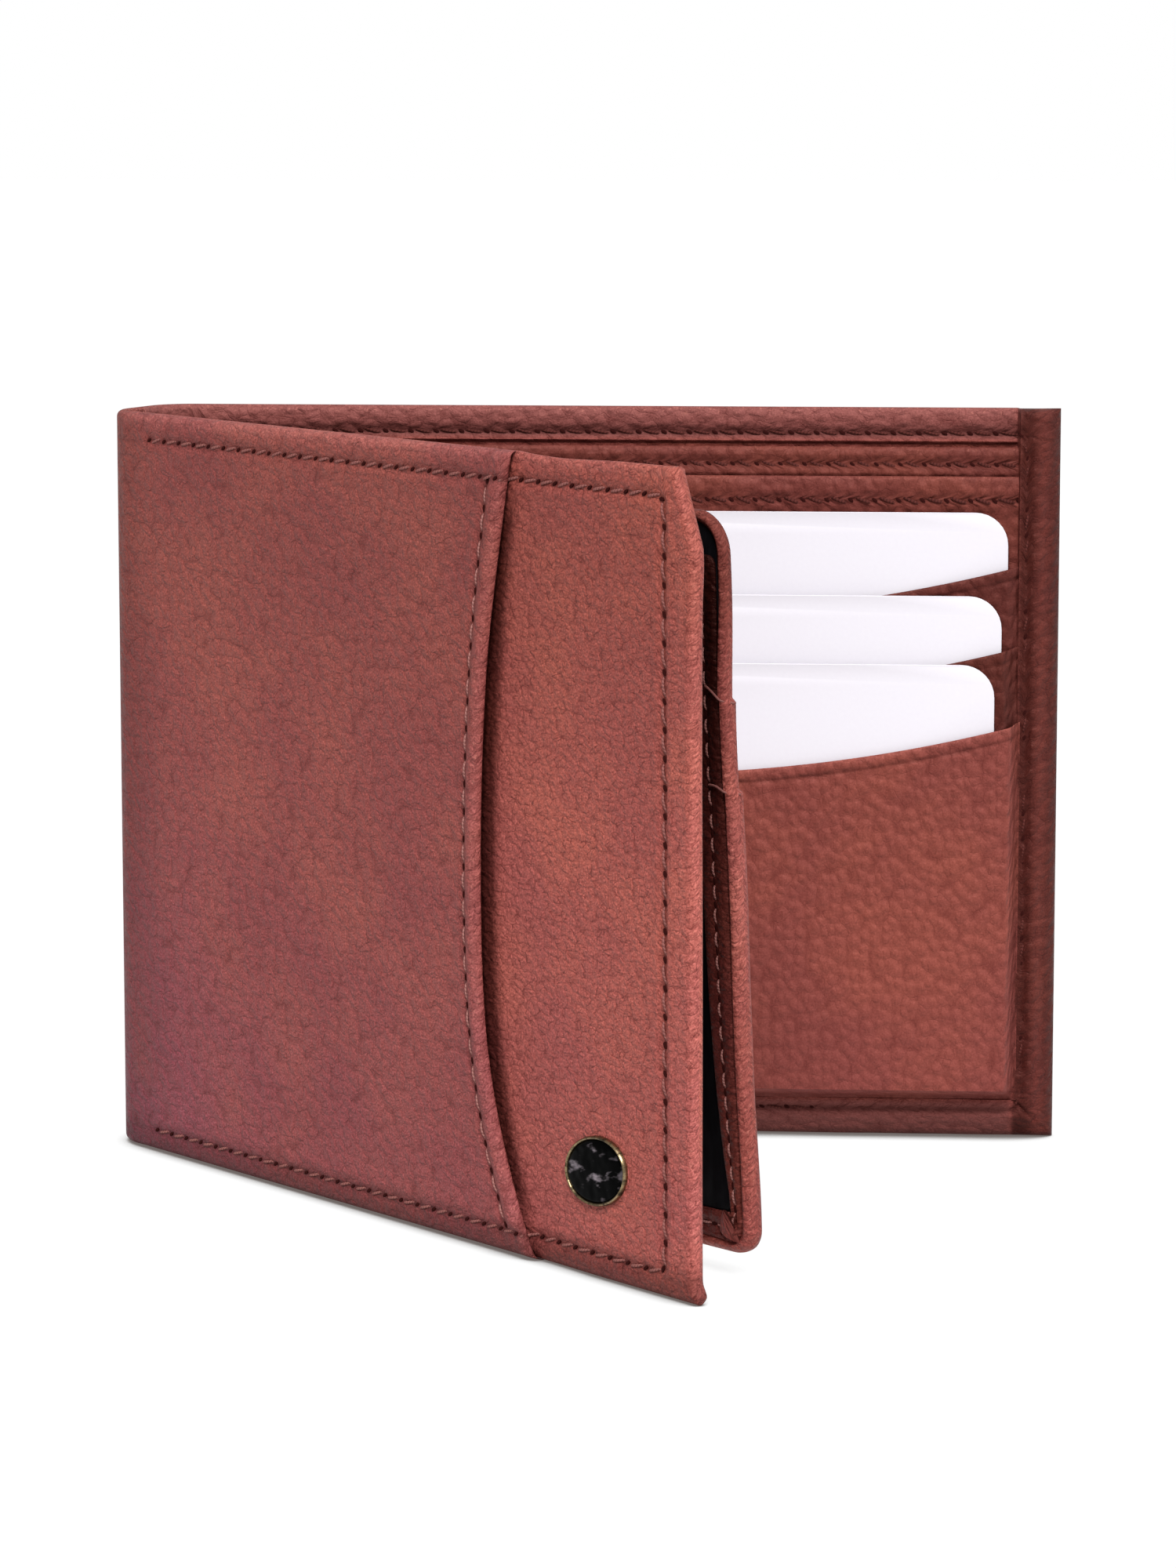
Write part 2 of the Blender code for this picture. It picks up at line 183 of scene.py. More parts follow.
class Folded(Plane):
    """A half whose leather goes on round a soft fold and along the spine, where u is still the arc length."""

    def __init__(self, plane, pivot, spine_along, spine_inward):
        super().__init__(plane.origin, plane.along, plane.inward)
        self.spine_along, self.spine_inward = spine_along, spine_inward
        self.turn = math.acos(float(self.inward @ spine_inward))
        half = self.turn / 2
        bisector = self.inward + spine_inward
        bisector /= np.linalg.norm(bisector)
        corner = pivot - bisector * PIVOT_DEPTH * MM / math.cos(half)
        self.centre = corner + bisector * FOLD_RADIUS * MM / math.cos(half)
        tangent = FOLD_RADIUS * math.tan(half)
        self.arc = FOLD_RADIUS * self.turn
        beyond = PIVOT_DEPTH * math.tan(half)
        self.flat_from = tangent - beyond
        self.middle = self.flat_from - self.arc - (SPINE / 2 + beyond - tangent)

    def __call__(self, u, n, z):
        u, n, z = matched(u, n, z)
        before = self.flat_from - u
        t = np.clip(1 - before / self.arc, 0, 1)[..., None]
        normal = np.sin((1 - t) * self.turn) * self.spine_inward + np.sin(t * self.turn) * self.inward
        normal /= math.sin(self.turn)
        flat = self.centre - FOLD_RADIUS * MM * normal + n[..., None] * MM * normal
        flat = flat + np.maximum(-before, 0)[..., None] * self.along * MM
        flat = flat + np.maximum(before - self.arc, 0)[..., None] * self.spine_along * MM
        return upright(flat, z)

    def bend(self, obj, body):
        """Bakes a piece's placing into its mesh; where its leather leaves the half and where it joins the
        spine are found but not used.
        """
        start, end = self(self.flat_from, 0.0, 0.0), self(self.flat_from - self.arc, 0.0, 0.0)
        tuple(start)
        tuple(end)
        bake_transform(obj)


class Warped(Plane):
    """The cover, whose upper free corner stands a little further out than its lower one."""

    def __call__(self, u, n, z):
        return super().__call__(u, n + cover_lean(u, z), z)


class WarpedFold(Folded):
    """The cover with its fold, warped in the same way."""

    def __call__(self, u, n, z):
        return super().__call__(u, n + cover_lean(u, z), z)


def cover_lean(u, z):
    """Depth by which the cover's leather leaves its plane."""
    return -COVER_LEAN * np.clip(u / LENGTH, 0, 1) ** 1.6 * np.clip(z / HEIGHT, 0, 1)


class Leaning(Plane):
    """The flap, whose top leans towards the cover."""

    def __call__(self, u, n, z):
        u, n, z = matched(u, n, z)
        lean = FLAP_TWIST * ((z - FLAP_FOOT) / (FLAP_TOP - FLAP_FOOT) - 0.5)
        cos, sin = np.cos(lean)[..., None], np.sin(lean)[..., None]
        along = self.along * cos + self.inward * sin
        inward = self.inward * cos - self.along * sin
        flat = self.origin + (u[..., None] * along + n[..., None] * inward) * MM
        return upright(flat, z)


def heading(angle):
    return np.array([math.cos(angle), math.sin(angle)])


spine_run = (JOINT["cover_fold"] - JOINT["spine_fold"]) / (SPINE * MM)
spine_inward = np.array([-spine_run[1], spine_run[0]])
cover_along = heading(-COVER_ANGLE)
cover_inward = np.array([math.sin(COVER_ANGLE), math.cos(COVER_ANGLE)])
flap_along = heading(-FLAP_ANGLE)
flap_to_cover = -np.array([math.sin(FLAP_ANGLE), math.cos(FLAP_ANGLE)])

BACK = Plane(JOINT["spine_fold"] + (0.0, PIVOT_DEPTH * MM), (1.0, 0.0), (0.0, -1.0))
COVER = Warped(JOINT["cover_fold"] - cover_inward * PIVOT_DEPTH * MM, cover_along, cover_inward)
BACK_FOLD = Folded(BACK, JOINT["spine_fold"], spine_run, spine_inward)
COVER_FOLD = WarpedFold(COVER, JOINT["cover_fold"], -spine_run, spine_inward)
FLAP = Leaning(JOINT["flap_turn"], flap_along, flap_to_cover)


# Numbers shared by the sheets


def smooth(value, low, high):
    t = np.clip((value - low) / (high - low), 0, 1)
    return t * t * (3 - 2 * t)


def quarter_round(distance, radius):
    """0 at an edge, rising as a quarter circle to 1 at the radius."""
    k = np.clip(distance / radius, 0, 1)
    return np.sqrt(np.clip(1 - (1 - k) ** 2, 0, 1))


def bump(value, centre, width):
    return np.exp(-(((value - centre) / width) ** 2))


def most(*values):
    return reduce(np.maximum, values)


def least(*values):
    return reduce(np.minimum, values)


def level(depth):
    """A surface of one depth."""
    return lambda u, z: np.full_like(u, depth)


def grid(us, zs):
    return np.meshgrid(us, zs, indexing="ij")


def swell(u, z, seed, size):
    """A slow unevenness between about -1 and 1."""
    rng = np.random.default_rng(seed)
    total = np.zeros(np.broadcast(u, z).shape)
    for _ in range(6):
        turn, phase, scale = rng.uniform(0, math.tau), rng.uniform(0, math.tau), rng.uniform(0.6, 1.7)
        run = (u * math.cos(turn) + z * math.sin(turn)) / (size * scale)
        total += np.sin(run * math.tau / 2 + phase)
    return total / 3.4


def lines(low, high, step, *dense):
    """Grid lines from low to high, with closely spaced ones added."""
    every = [np.linspace(low, high, max(2, round((high - low) / step) + 1))]
    every = np.sort(np.concatenate(every + [np.ravel(d) for d in dense]))
    every = every[(every > low + 0.02) & (every < high - 0.02)]
    kept = [low]
    for value in every:
        if value - kept[-1] > 0.03:
            kept.append(value)
    return np.array(kept + [high])


def edge_lines(at, radius, way):
    """Lines that close up towards a rounded edge at a place; way is the side the sheet lies on."""
    return at + way * radius * (1 - np.cos(np.linspace(0, math.pi / 2, 7)))


def row_lines(at):
    """Lines across a row of stitches."""
    offsets = np.array([0.0, 0.15, 0.32, 0.55, 0.85, 1.3, 1.9])
    return at + np.concatenate([-offsets, offsets])


def step_lines(at):
    return at + np.array([-0.25, -0.1, 0.0, 0.1, 0.25])


def mouth_at(u, top):
    """Height of a card slot's bowed mouth."""
    middle, half = (SLOT_START + MOUTH_END) / 2, (MOUTH_END - SLOT_START) / 2
    return top - SLOT_SAG * (1 - ((u - middle) / half) ** 2)


def pocket_edge(z):
    """How far the curved pocket panel reaches along the cover."""
    above, below = np.maximum(z - POCKET_WAIST_Z, 0) / 47.5, np.maximum(POCKET_WAIST_Z - z, 0) / 42.0
    return POCKET_WAIST + 5.2 * above**2 + 8.9 * below**2.7


class Seam:
    """A row of stitches along a path of (u, z) points."""

    def __init__(self, path, pitch=PITCH):
        path = np.array(path, float)
        length = np.concatenate([[0], np.cumsum(np.linalg.norm(np.diff(path, axis=0), axis=1))])
        self.count = max(1, round(length[-1] / pitch))
        self.pitch = length[-1] / self.count
        self.run = np.linspace(0, length[-1], int(length[-1] / 0.3) + 2)
        self.points = np.stack([np.interp(self.run, length, path[:, k]) for k in (0, 1)], -1)

    def at(self, run):
        return np.stack([np.interp(run, self.run, self.points[:, k]) for k in (0, 1)], -1)

    def near(self, u, z):
        """Distance to the row, and how far along it, for a grid of points."""
        spots = np.stack([u.ravel(), z.ravel()], -1)
        distance, along = np.empty(len(spots)), np.empty(len(spots))
        for first in range(0, len(spots), 4000):
            part = spots[first:first + 4000]
            gap = np.linalg.norm(part[:, None] - self.points[None], axis=-1)
            nearest = gap.argmin(axis=1)
            distance[first:first + 4000] = gap[np.arange(len(part)), nearest]
            along[first:first + 4000] = self.run[nearest]
        return distance.reshape(u.shape), along.reshape(u.shape)

    def relief(self, u, z, depth=0.3, width=0.55):
        """How far the thread pulls the leather in: deepest at the holes. The second value is a share along
        the row that pieces use for painted shade along the stitch line.
        """
        distance, along = self.near(u, z)
        pull = 0.62 + 0.38 * np.cos(math.tau * along / self.pitch)
        shoulder = 0.3 * bump(distance, 2.2 * width, width)
        return depth * (bump(distance, 0, width) * pull - shoulder), bump(distance, 0, width * 0.8)


# Meshes


def added(name, data):
    """A new object in the scene."""
    obj = bpy.data.objects.new(name, data)
    bpy.context.scene.collection.objects.link(obj)
    return obj


def fit(obj, slot, body, *nodes):
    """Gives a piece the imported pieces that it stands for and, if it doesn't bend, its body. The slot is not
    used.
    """
    if nodes:
        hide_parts(*nodes)
    if body:
        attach(obj, body)


def mesh_object(name, points, faces, uv, finishes, values=None, face_finish=None, sharp=42.0):
    mesh = bpy.data.meshes.new(name)
    mesh.from_pydata(points.tolist(), [], faces)
    layer = mesh.uv_layers.new(name="flat")
    corner = np.empty(len(mesh.loops), int)
    mesh.loops.foreach_get("vertex_index", corner)
    layer.data.foreach_set("uv", np.asarray(uv, np.float32)[corner].ravel())
    for key, value in (values or {}).items():
        mesh.attributes.new(key, "FLOAT", "POINT").data.foreach_set("value", value.astype(np.float32))
    for finish in finishes:
        mesh.materials.append(finish)
    if face_finish is not None:
        mesh.polygons.foreach_set("material_index", face_finish)
    bm = bmesh.new()
    bm.from_mesh(mesh)
    bmesh.ops.remove_doubles(bm, verts=bm.verts, dist=1e-7)
    bmesh.ops.recalc_face_normals(bm, faces=bm.faces)
    if bm.calc_volume(signed=True) < 0:
        bmesh.ops.reverse_faces(bm, faces=bm.faces)
    bm.to_mesh(mesh)
    bm.free()
    mesh.shade_smooth()
    mesh.set_sharp_from_angle(angle=math.radians(sharp))
    return added(name, mesh)


def texture_grid(u, z, depth):
    """Millimetres along and up a sheet, measured over its relief so that its grain isn't stretched."""
    run = np.cumsum(np.hypot(np.diff(u, axis=0), np.diff(depth, axis=0)), axis=0)
    rise = np.cumsum(np.hypot(np.diff(z, axis=1), np.diff(depth, axis=1)), axis=1)
    along = u[:1] + np.concatenate([0 * u[:1], run])
    up = z[:, :1] + np.concatenate([0 * z[:, :1], rise], axis=1)
    return np.stack([along, up], -1).reshape(-1, 2)


def leaf(name, place, u, z, front, back, finish, values=None, shift=(0.0, 0.0)):
    """A closed sheet between two faces given as depths over one grid."""
    rows, columns = u.shape
    count = rows * columns
    index = np.arange(count).reshape(rows, columns)
    quads = np.stack([index[:-1, :-1], index[1:, :-1], index[1:, 1:], index[:-1, 1:]], -1).reshape(-1, 4)
    rim = np.concatenate([index[:, 0], index[-1, 1:], index[-2::-1, -1], index[0, -2:0:-1]])
    beyond = np.roll(rim, -1)
    walls = np.stack([beyond, rim, rim + count, beyond + count], -1)
    faces = np.concatenate([quads, quads[:, ::-1] + count, walls]).tolist()
    points = np.concatenate([place(u, front, z).reshape(-1, 3), place(u, back, z).reshape(-1, 3)])
    uvs = [texture_grid(u, z, front), texture_grid(u, z, back) + BACK_FACE_SHIFT]
    values = {"wear_and_highlight": 0.0, "painted_shade": 0.0, "shadow": 0.0, **(values or {})}
    both = {key: np.tile(np.broadcast_to(value, u.shape).ravel(), 2) for key, value in values.items()}
    return mesh_object(name, points, faces, np.concatenate(uvs) + np.array(shift), [finish], both)


def round_off(front, back, distance, radius):
    """Brings both faces together round an edge."""
    middle, k = (front + back) / 2, quarter_round(distance, radius)
    return middle + (front - middle) * k, middle + (back - middle) * k


def ring_faces(rings, count, first=0, closed=False):
    """Faces between rings of points. The end rings are filled unless the last one joins the first."""
    faces = []
    for ring in range(rings if closed else rings - 1):
        here, after = first + ring * count, first + (ring + 1) % rings * count
        for k in range(count):
            j = (k + 1) % count
            faces.append([here + k, here + j, after + j, after + k])
    if not closed:
        faces += [[first + ring * count + k for k in range(count)] for ring in (0, rings - 1)]
    return faces


def stitches(name, seam, place, surface, side, finish, slant=0.16, radius=0.165):
    """Every stitch of a row and the hole at each of its ends, as one mesh.

    surface(u, z) is the leather's depth, and side is the way out of it along the depth."""
    points, faces, kinds, uvs = [], [], [], []
    spokes = np.linspace(0, math.tau, SPOKES, endpoint=False)
    steps = np.linspace(0, 1, 8)
    rng = np.random.default_rng(len(name))

    def add(u, n, z, kind):
        rings = len(u)
        made = ring_faces(rings, SPOKES, sum(len(p) for p in points))
        faces.extend(made)
        kinds.extend([kind] * len(made))
        points.append(place(u, n, z).reshape(-1, 3))
        around, along = np.tile(np.arange(SPOKES) / SPOKES, rings), np.repeat(np.arange(rings), SPOKES)
        uvs.append(np.stack([around, along], -1))

    for i in range(seam.count):
        a, b = seam.at((i + 0.13) * seam.pitch), seam.at((i + 0.87) * seam.pitch)
        along = (b - a) / np.linalg.norm(b - a)
        across = np.array([-along[1], along[0]])
        tilt = slant * rng.uniform(0.7, 1.3)
        line = a + (b - a) * steps[:, None] + across * ((steps[:, None] - 0.5) * 2 * tilt)
        height = -0.22 + 0.36 * np.sin(math.pi * steps) ** 0.6 * rng.uniform(0.9, 1.1)
        thick = (radius * (0.55 + 0.45 * np.sin(math.pi * steps) ** 0.5))[:, None]
        depth = surface(line[:, 0], line[:, 1]) + side * height
        ring_u = line[:, 0, None] + across[0] * thick * np.cos(spokes)
        ring_z = line[:, 1, None] + across[1] * thick * np.cos(spokes)
        add(ring_u, depth[:, None] + side * thick * np.sin(spokes) * 0.8, ring_z, 0)
    long, wide = np.array([[0.42], [0.38], [0.15]]), np.array([[0.21], [0.18], [0.07]])
    rise = np.array([-0.15, 0.04, 0.08])
    for i in range(seam.count + 1):
        u, z = seam.at(i * seam.pitch)
        before, after = seam.at(i * seam.pitch - 0.3), seam.at(i * seam.pitch + 0.3)
        along = after - before + np.array([before[1] - after[1], after[0] - before[0]]) * slant * 2.2
        along /= np.linalg.norm(along)
        depth = surface(np.array([u]), np.array([z]))[0] + side * rise
        ring_u = u + long * along[0] * np.cos(spokes) - wide * along[1] * np.sin(spokes)
        ring_z = z + long * along[1] * np.cos(spokes) + wide * along[0] * np.sin(spokes)
        add(ring_u, np.repeat(depth[:, None], SPOKES, axis=1), ring_z, 1)
    return mesh_object(name, np.concatenate(points), faces, np.concatenate(uvs), [finish, HOLE],
                       face_finish=np.array(kinds))


def band(name, place, outer, inner, section, finish, values=None, shift=(0.0, 0.0)):
    """A closed band between two outlines. The section lists (share of the way in, depth)."""
    share, depth = np.array(section).T
    spots = outer[:, None] + (inner - outer)[:, None] * share[None, :, None]
    count, around = spots.shape[:2]
    points = place(spots[..., 0], np.broadcast_to(depth, (count, around)), spots[..., 1]).reshape(-1, 3)
    uv = spots.reshape(-1, 2) + np.array(shift)
    return mesh_object(name, points, ring_faces(count, around, closed=True), uv, [finish], values)


def plate(name, place, outline, low, high, finish, bevel):
    """A thin flat piece with softened edges."""
    centre = outline.mean(axis=0)
    inset = centre + (outline - centre) * (1 - bevel / np.abs(outline - centre).max(axis=0))
    loops = [(inset, low), (outline, low + bevel), (outline, high - bevel), (inset, high)]
    points = np.concatenate([place(loop[:, 0], depth, loop[:, 1]) for loop, depth in loops])
    uv = np.concatenate([loop for loop, _ in loops])
    return mesh_object(name, points, ring_faces(len(loops), len(outline)), uv, [finish])


def turned_oval(name, half, section, finish, closed):
    """A shape swept round the stud's tilted oval. The section lists (distance in from the oval, depth)."""
    turns = np.linspace(0, math.tau, 72, endpoint=False)
    cos, sin = math.cos(EMBLEM_TILT), math.sin(EMBLEM_TILT)
    points, uv = [], []
    for inset, depth in section:
        long, short = (half[0] - inset) * np.cos(turns), (half[1] - inset) * np.sin(turns)
        u, z = EMBLEM_AT[0] + long * cos - short * sin, EMBLEM_AT[1] + long * sin + short * cos
        points.append(COVER(u, depth, z))
        uv.append(np.stack([long, short], -1))
    faces = ring_faces(len(section), len(turns), closed=closed)
    return mesh_object(name, np.concatenate(points), faces, np.concatenate(uv), [finish])


def rounded_outline(u0, u1, z0, z1, radius, per_side=40):
    """Points round a rectangle with round corners, the same number on each side and corner."""
    points = []
    corners = ((u1 - radius, z0 + radius, -90), (u1 - radius, z1 - radius, 0),
               (u0 + radius, z1 - radius, 90), (u0 + radius, z0 + radius, 180))
    for k, (cu, cz, start) in enumerate(corners):
        for step in range(9):
            angle = math.radians(start + 90 * step / 8)
            points.append((cu + radius * math.cos(angle), cz + radius * math.sin(angle)))
        after = corners[(k + 1) % 4]
        angle = math.radians(start + 90)
        here = np.array(points[-1])
        there = np.array([after[0] + radius * math.cos(angle), after[1] + radius * math.sin(angle)])
        points += [tuple(here + (there - here) * s / per_side) for s in range(1, per_side)]
    return np.array(points)


# Finishes


def linear(red, green, blue):
    """A colour given on the 0 to 255 display scale, as shader values."""
    def channel(value):
        value /= 255
        return value / 12.92 if value <= 0.04045 else ((value + 0.055) / 1.055) ** 2.4
    return (channel(red), channel(green), channel(blue), 1.0)


CLOTH_SHEEN = linear(255, 190, 180)
WHITE = (1.0, 1.0, 1.0, 1.0)


class Finish:
    """A material under construction, with short calls for its nodes."""

    def __init__(self, name):
        self.material = bpy.data.materials.new(name)
        self.material.use_nodes = True
        self.tree = self.material.node_tree
        self.shader = self.tree.nodes["Principled BSDF"]

    def node(self, kind, inputs=None, **settings):
        made = self.tree.nodes.new("ShaderNode" + kind)
        for key, value in settings.items():
            setattr(made, key, value)
        for key, value in (inputs or {}).items():
            self.feed(made.inputs[key], value)
        return made

    def feed(self, socket, value):
        if isinstance(value, bpy.types.NodeSocket):
            self.tree.links.new(value, socket)
        else:
            socket.default_value = value

    def math(self, operation, first, second=0.0, third=0.0):
        return self.node("Math", {0: first, 1: second, 2: third}, operation=operation).outputs[0]

    def times(self, first, second):
        return self.math("MULTIPLY", first, second)

    def mix(self, share, first, second, blend="MIX"):
        """Sockets 6 and 7 are the two colours, and output 2 is their mix."""
        made = self.node("Mix", {0: share, 6: first, 7: second}, data_type="RGBA", blend_type=blend)
        return made.outputs[2]

    def darken(self, share, colour, by):
        return self.mix(share, colour, by, "MULTIPLY")

    def lighten(self, share, colour, saturation, value):
        lit = self.node("HueSaturation", {"Saturation": saturation, "Value": value, "Color": colour})
        return self.mix(share, colour, lit.outputs[0])

    def between(self, value, low, high, start=0.0, end=1.0):
        made = self.node("MapRange", {0: value, 1: low, 2: high, 3: start, 4: end},
                         interpolation_type="SMOOTHSTEP")
        return made.outputs[0]

    def noise(self, vector, scale, detail=3.0, roughness=0.55, output="Fac"):
        inputs = {"Vector": vector, "Scale": scale, "Detail": detail, "Roughness": roughness}
        return self.node("TexNoise", inputs).outputs[output]

    def cells(self, vector, scale, feature="DISTANCE_TO_EDGE", **inputs):
        made = self.node("TexVoronoi", {"Vector": vector, "Scale": scale, **inputs}, feature=feature,
                         voronoi_dimensions="2D")
        return made.outputs["Distance"]

    def twill(self, vector, scale, **inputs):
        made = self.node("TexWave", {"Vector": vector, "Scale": scale, **inputs}, bands_direction="DIAGONAL")
        return made.outputs["Fac"]

    def raised(self, height, strength, distance):
        inputs = {"Height": height, "Strength": strength, "Distance": distance}
        return self.node("Bump", inputs).outputs[0]

    def vector(self, operation, first, **inputs):
        second = {key if key != "by" else 1: value for key, value in inputs.items()}
        return self.node("VectorMath", {0: first, **second}, operation=operation).outputs[0]

    def stretched(self, vector, x, y):
        return self.vector("MULTIPLY", vector, by=(x, y, 1.0))

    def flat(self):
        """Millimetres along and up the piece laid flat."""
        return self.node("UVMap", uv_map="flat").outputs[0]

    def value(self, name):
        return self.node("Attribute", attribute_name=name).outputs["Fac"]

    def set(self, **inputs):
        for key, value in inputs.items():
            self.feed(self.shader.inputs[key.replace("_", " ")], value)
        return self.material


def leather(name, base, deep, warm, cell=1.1, relief=1.0, creases=0.6, cool=None, cool_share=None,
            fine_relief=1.0, wander=1.5, pebble_shape=(0.85, 1.15), wrinkle_shape=(0.42, 1.0)):
    """Pebbled leather: cells with creased borders, fine wrinkles and uneven dye, with edges lightened partly
    by rubbing and partly by painted highlight, and painted shade where a piece asks for it.
    """
    f = Finish(name)
    flat = f.flat()
    drift = f.noise(flat, 0.45, 2.0, output="Color")
    drift = f.vector("SUBTRACT", drift, by=(0.5, 0.5, 0.5))
    drift = f.vector("SCALE", drift, Scale=cell * wander)
    warped = f.vector("ADD", flat, by=drift)
    oblong = f.stretched(warped, *pebble_shape)
    pebble = f.cells(oblong, 1 / cell, "SMOOTH_F1", Randomness=0.95, Smoothness=0.7)
    wide = f.cells(oblong, 1 / cell, Randomness=0.95)
    fine = f.cells(f.stretched(warped, *wrinkle_shape), 1.25, Randomness=1.0)
    crease = f.times(f.between(wide, 0.07, 0.0), f.between(f.noise(flat, 0.55), 0.40, 0.60))
    small_crease = f.times(f.between(fine, 0.11, 0.0), f.between(f.noise(flat, 0.9, 2.0), 0.44, 0.60))
    wrinkle = f.noise(flat, 2.0, 4.0, 0.66)
    speck = f.noise(flat, 4.2, 2.0, 0.65)

    height = f.times(f.between(pebble, 0.62, 0.05), 0.85)
    for part, share in ((f.between(fine, 0.0, 0.22), 0.16), (wrinkle, 0.50), (speck, 0.45), (crease, -0.25)):
        height = f.math("MULTIPLY_ADD", part, share * fine_relief, height)

    cloud = f.noise(flat, 0.055, 4.0, 0.6)
    blotch = f.noise(flat, 0.5, 4.0, 0.6)
    colour = f.mix(f.between(cloud, 0.35, 0.68), base, warm)
    # The cool tint is a painted mauve reflection where towards_low_fold gives its share, low down near the
    # fold; on the back's hems it is the leather's own tone.
    if cool is not None:
        colour = f.mix(cool_share(f, flat), colour, cool)
    hollow = f.math("SUBTRACT", 1.0, f.between(wrinkle, 0.36, 0.62))
    # Blotches are uneven dye. The creases are partly the grain's dark cracks and partly painted shade, and
    # the darkening in the wrinkle hollows and in the valleys between pebbles is painted shade.
    dark_shares = (
        f.times(f.between(blotch, 0.38, 0.70), 0.08),
        f.times(crease, creases * 0.7),
        f.times(small_crease, creases),
        f.times(hollow, 0.18 * fine_relief),
        f.times(f.between(pebble, 0.45, 0.85), 0.35),
        f.between(speck, 0.51, 0.34, 0.0, 0.40 * fine_relief),
    )
    for share in dark_shares:
        colour = f.mix(share, colour, deep)
    colour = f.lighten(f.times(f.between(speck, 0.50, 0.68), 0.6 * fine_relief), colour, 0.97, 1.75)
    # Edges are lightened partly by rubbing and partly by a painted highlight where they catch the light; the
    # light-coloured scuffs on them are scratches.
    rubbed_and_lit = f.times(f.value("wear_and_highlight"), f.between(blotch, 0.25, 0.6, 0.55, 1.0))
    colour = f.lighten(f.times(rubbed_and_lit, 0.5), colour, 0.94, 1.45)
    scuffed = f.times(f.between(wrinkle, 0.56, 0.70), f.between(f.value("wear_and_highlight"), 0.2, 0.9))
    colour = f.mix(f.times(scuffed, 0.4), colour, linear(196, 126, 110))
    # Painted shade: darker along stitch lines, in recesses and gaps, and in places the light reaches less.
    colour = f.darken(f.times(f.value("painted_shade"), 0.6), colour, linear(104, 80, 78))
    colour = f.darken(f.value("shadow"), colour, linear(78, 50, 46))
    gloss = f.math("MULTIPLY_ADD", speck, 0.22, 0.40)
    return f.set(Base_Color=colour, Roughness=gloss, Normal=f.raised(height, 1.0, 0.00017 * relief),
                 Specular_IOR_Level=0.2, Specular_Tint=linear(255, 176, 164))


def thread_finish(name, colour, shade):
    """Waxed thread: two strands twisted round each other."""
    f = Finish(name)
    flat = f.flat()
    wave = f.twill(flat, 0.5, Distortion=0.6, Detail=1.0)
    mixed = f.mix(f.between(wave, 0.0, 0.5, 0.35, 1.0), shade, colour)
    height = f.math("MULTIPLY_ADD", f.noise(flat, 9.0), 0.3, wave)
    return f.set(Base_Color=mixed, Roughness=0.72, Normal=f.raised(height, 0.7, 0.00006),
                 Specular_IOR_Level=0.15, Specular_Tint=CLOTH_SHEEN)


# The dark discs at the stitch holes are painted shade for the hollow of each hole.
def hole_finish():
    f = Finish("stitch_hole")
    colour = f.mix(f.noise(f.flat(), 3.0), linear(34, 11, 10), linear(54, 20, 18))
    return f.set(Base_Color=colour, Roughness=0.9, Specular_IOR_Level=0.02)


def lining_finish():
    """Dark twill of the bill compartment."""
    f = Finish("lining_twill")
    flat = f.flat()
    weave = f.twill(flat, 2.2, Distortion=0.4)
    colour = f.mix(f.times(weave, f.noise(flat, 5.0)), linear(36, 20, 19), linear(78, 46, 42))
    return f.set(Base_Color=colour, Roughness=0.85, Normal=f.raised(weave, 0.6, 0.00008),
                 Specular_IOR_Level=0.15, Specular_Tint=CLOTH_SHEEN)


def card_finish():
    """Blank smooth card."""
    f = Finish("card_board")
    fibre = f.noise(f.flat(), 2.0, 4.0)
    colour = f.mix(fibre, linear(197, 193, 200), linear(201, 198, 204))
    return f.set(Base_Color=colour, Roughness=0.42, Normal=f.raised(fibre, 0.15, 0.00003))


def window_finish():
    """Black film with a faint haze of scuffs."""
    f = Finish("window_film_black")
    flat = f.flat()
    scuff = f.noise(f.stretched(flat, 1.0, 0.15), 1.2, 5.0, 0.7)
    colour = f.mix(f.between(scuff, 0.4, 0.75), linear(8, 8, 10), linear(15, 15, 18))
    ripple = f.noise(flat, 0.12, 2.0)
    return f.set(Base_Color=colour, Roughness=f.between(scuff, 0.3, 0.8, 0.3, 0.5),
                 Normal=f.raised(ripple, 0.5, 0.0006), Specular_IOR_Level=0.06)


def brass_finish():
    """Antique brass: darkened, with polished high spots."""
    f = Finish("brass_antique")
    tarnish = f.noise(f.flat(), 1.4, 4.0, 0.65)
    colour = f.mix(f.between(tarnish, 0.4, 0.65), linear(150, 130, 98), linear(58, 50, 38))
    return f.set(Base_Color=colour, Metallic=1.0, Roughness=f.between(tarnish, 0.3, 0.7, 0.22, 0.5))


def enamel_finish():
    """Glossy black enamel, slightly uneven, with light glints painted in as reflections."""
    f = Finish("enamel_black")
    flat = f.flat()
    ripple = f.noise(flat, 0.5, 1.0, 0.4)
    glint_noise = f.noise(f.stretched(flat, 0.28, 0.62), 1.0)
    # Painted glints: light patches standing in for reflections on the face.
    painted_glints = f.times(f.between(glint_noise, 0.54, 0.70), f.between(ripple, 0.35, 0.6, 0.3, 1.0))
    return f.set(Base_Color=f.mix(painted_glints, linear(2, 2, 2), linear(128, 118, 124)), Roughness=0.16,
                 Normal=f.raised(ripple, 0.9, 0.00025), Specular_IOR_Level=0.02)


def towards_low_fold(f, flat):
    """Share of the painted mauve reflection: strongest low down and near the fold."""
    parts = f.node("SeparateXYZ", {0: flat})
    low = f.between(parts.outputs[1], 78.0, 4.0)
    near = f.between(parts.outputs[0], 88.0, 10.0, 0.25, 1.0)
    return f.times(f.times(low, near), f.between(f.noise(flat, 0.06), 0.25, 0.6, 0.55, 1.0))


def where_cool(f, flat):
    """Share of the cool patina, as each piece gives it."""
    return f.value("cool")
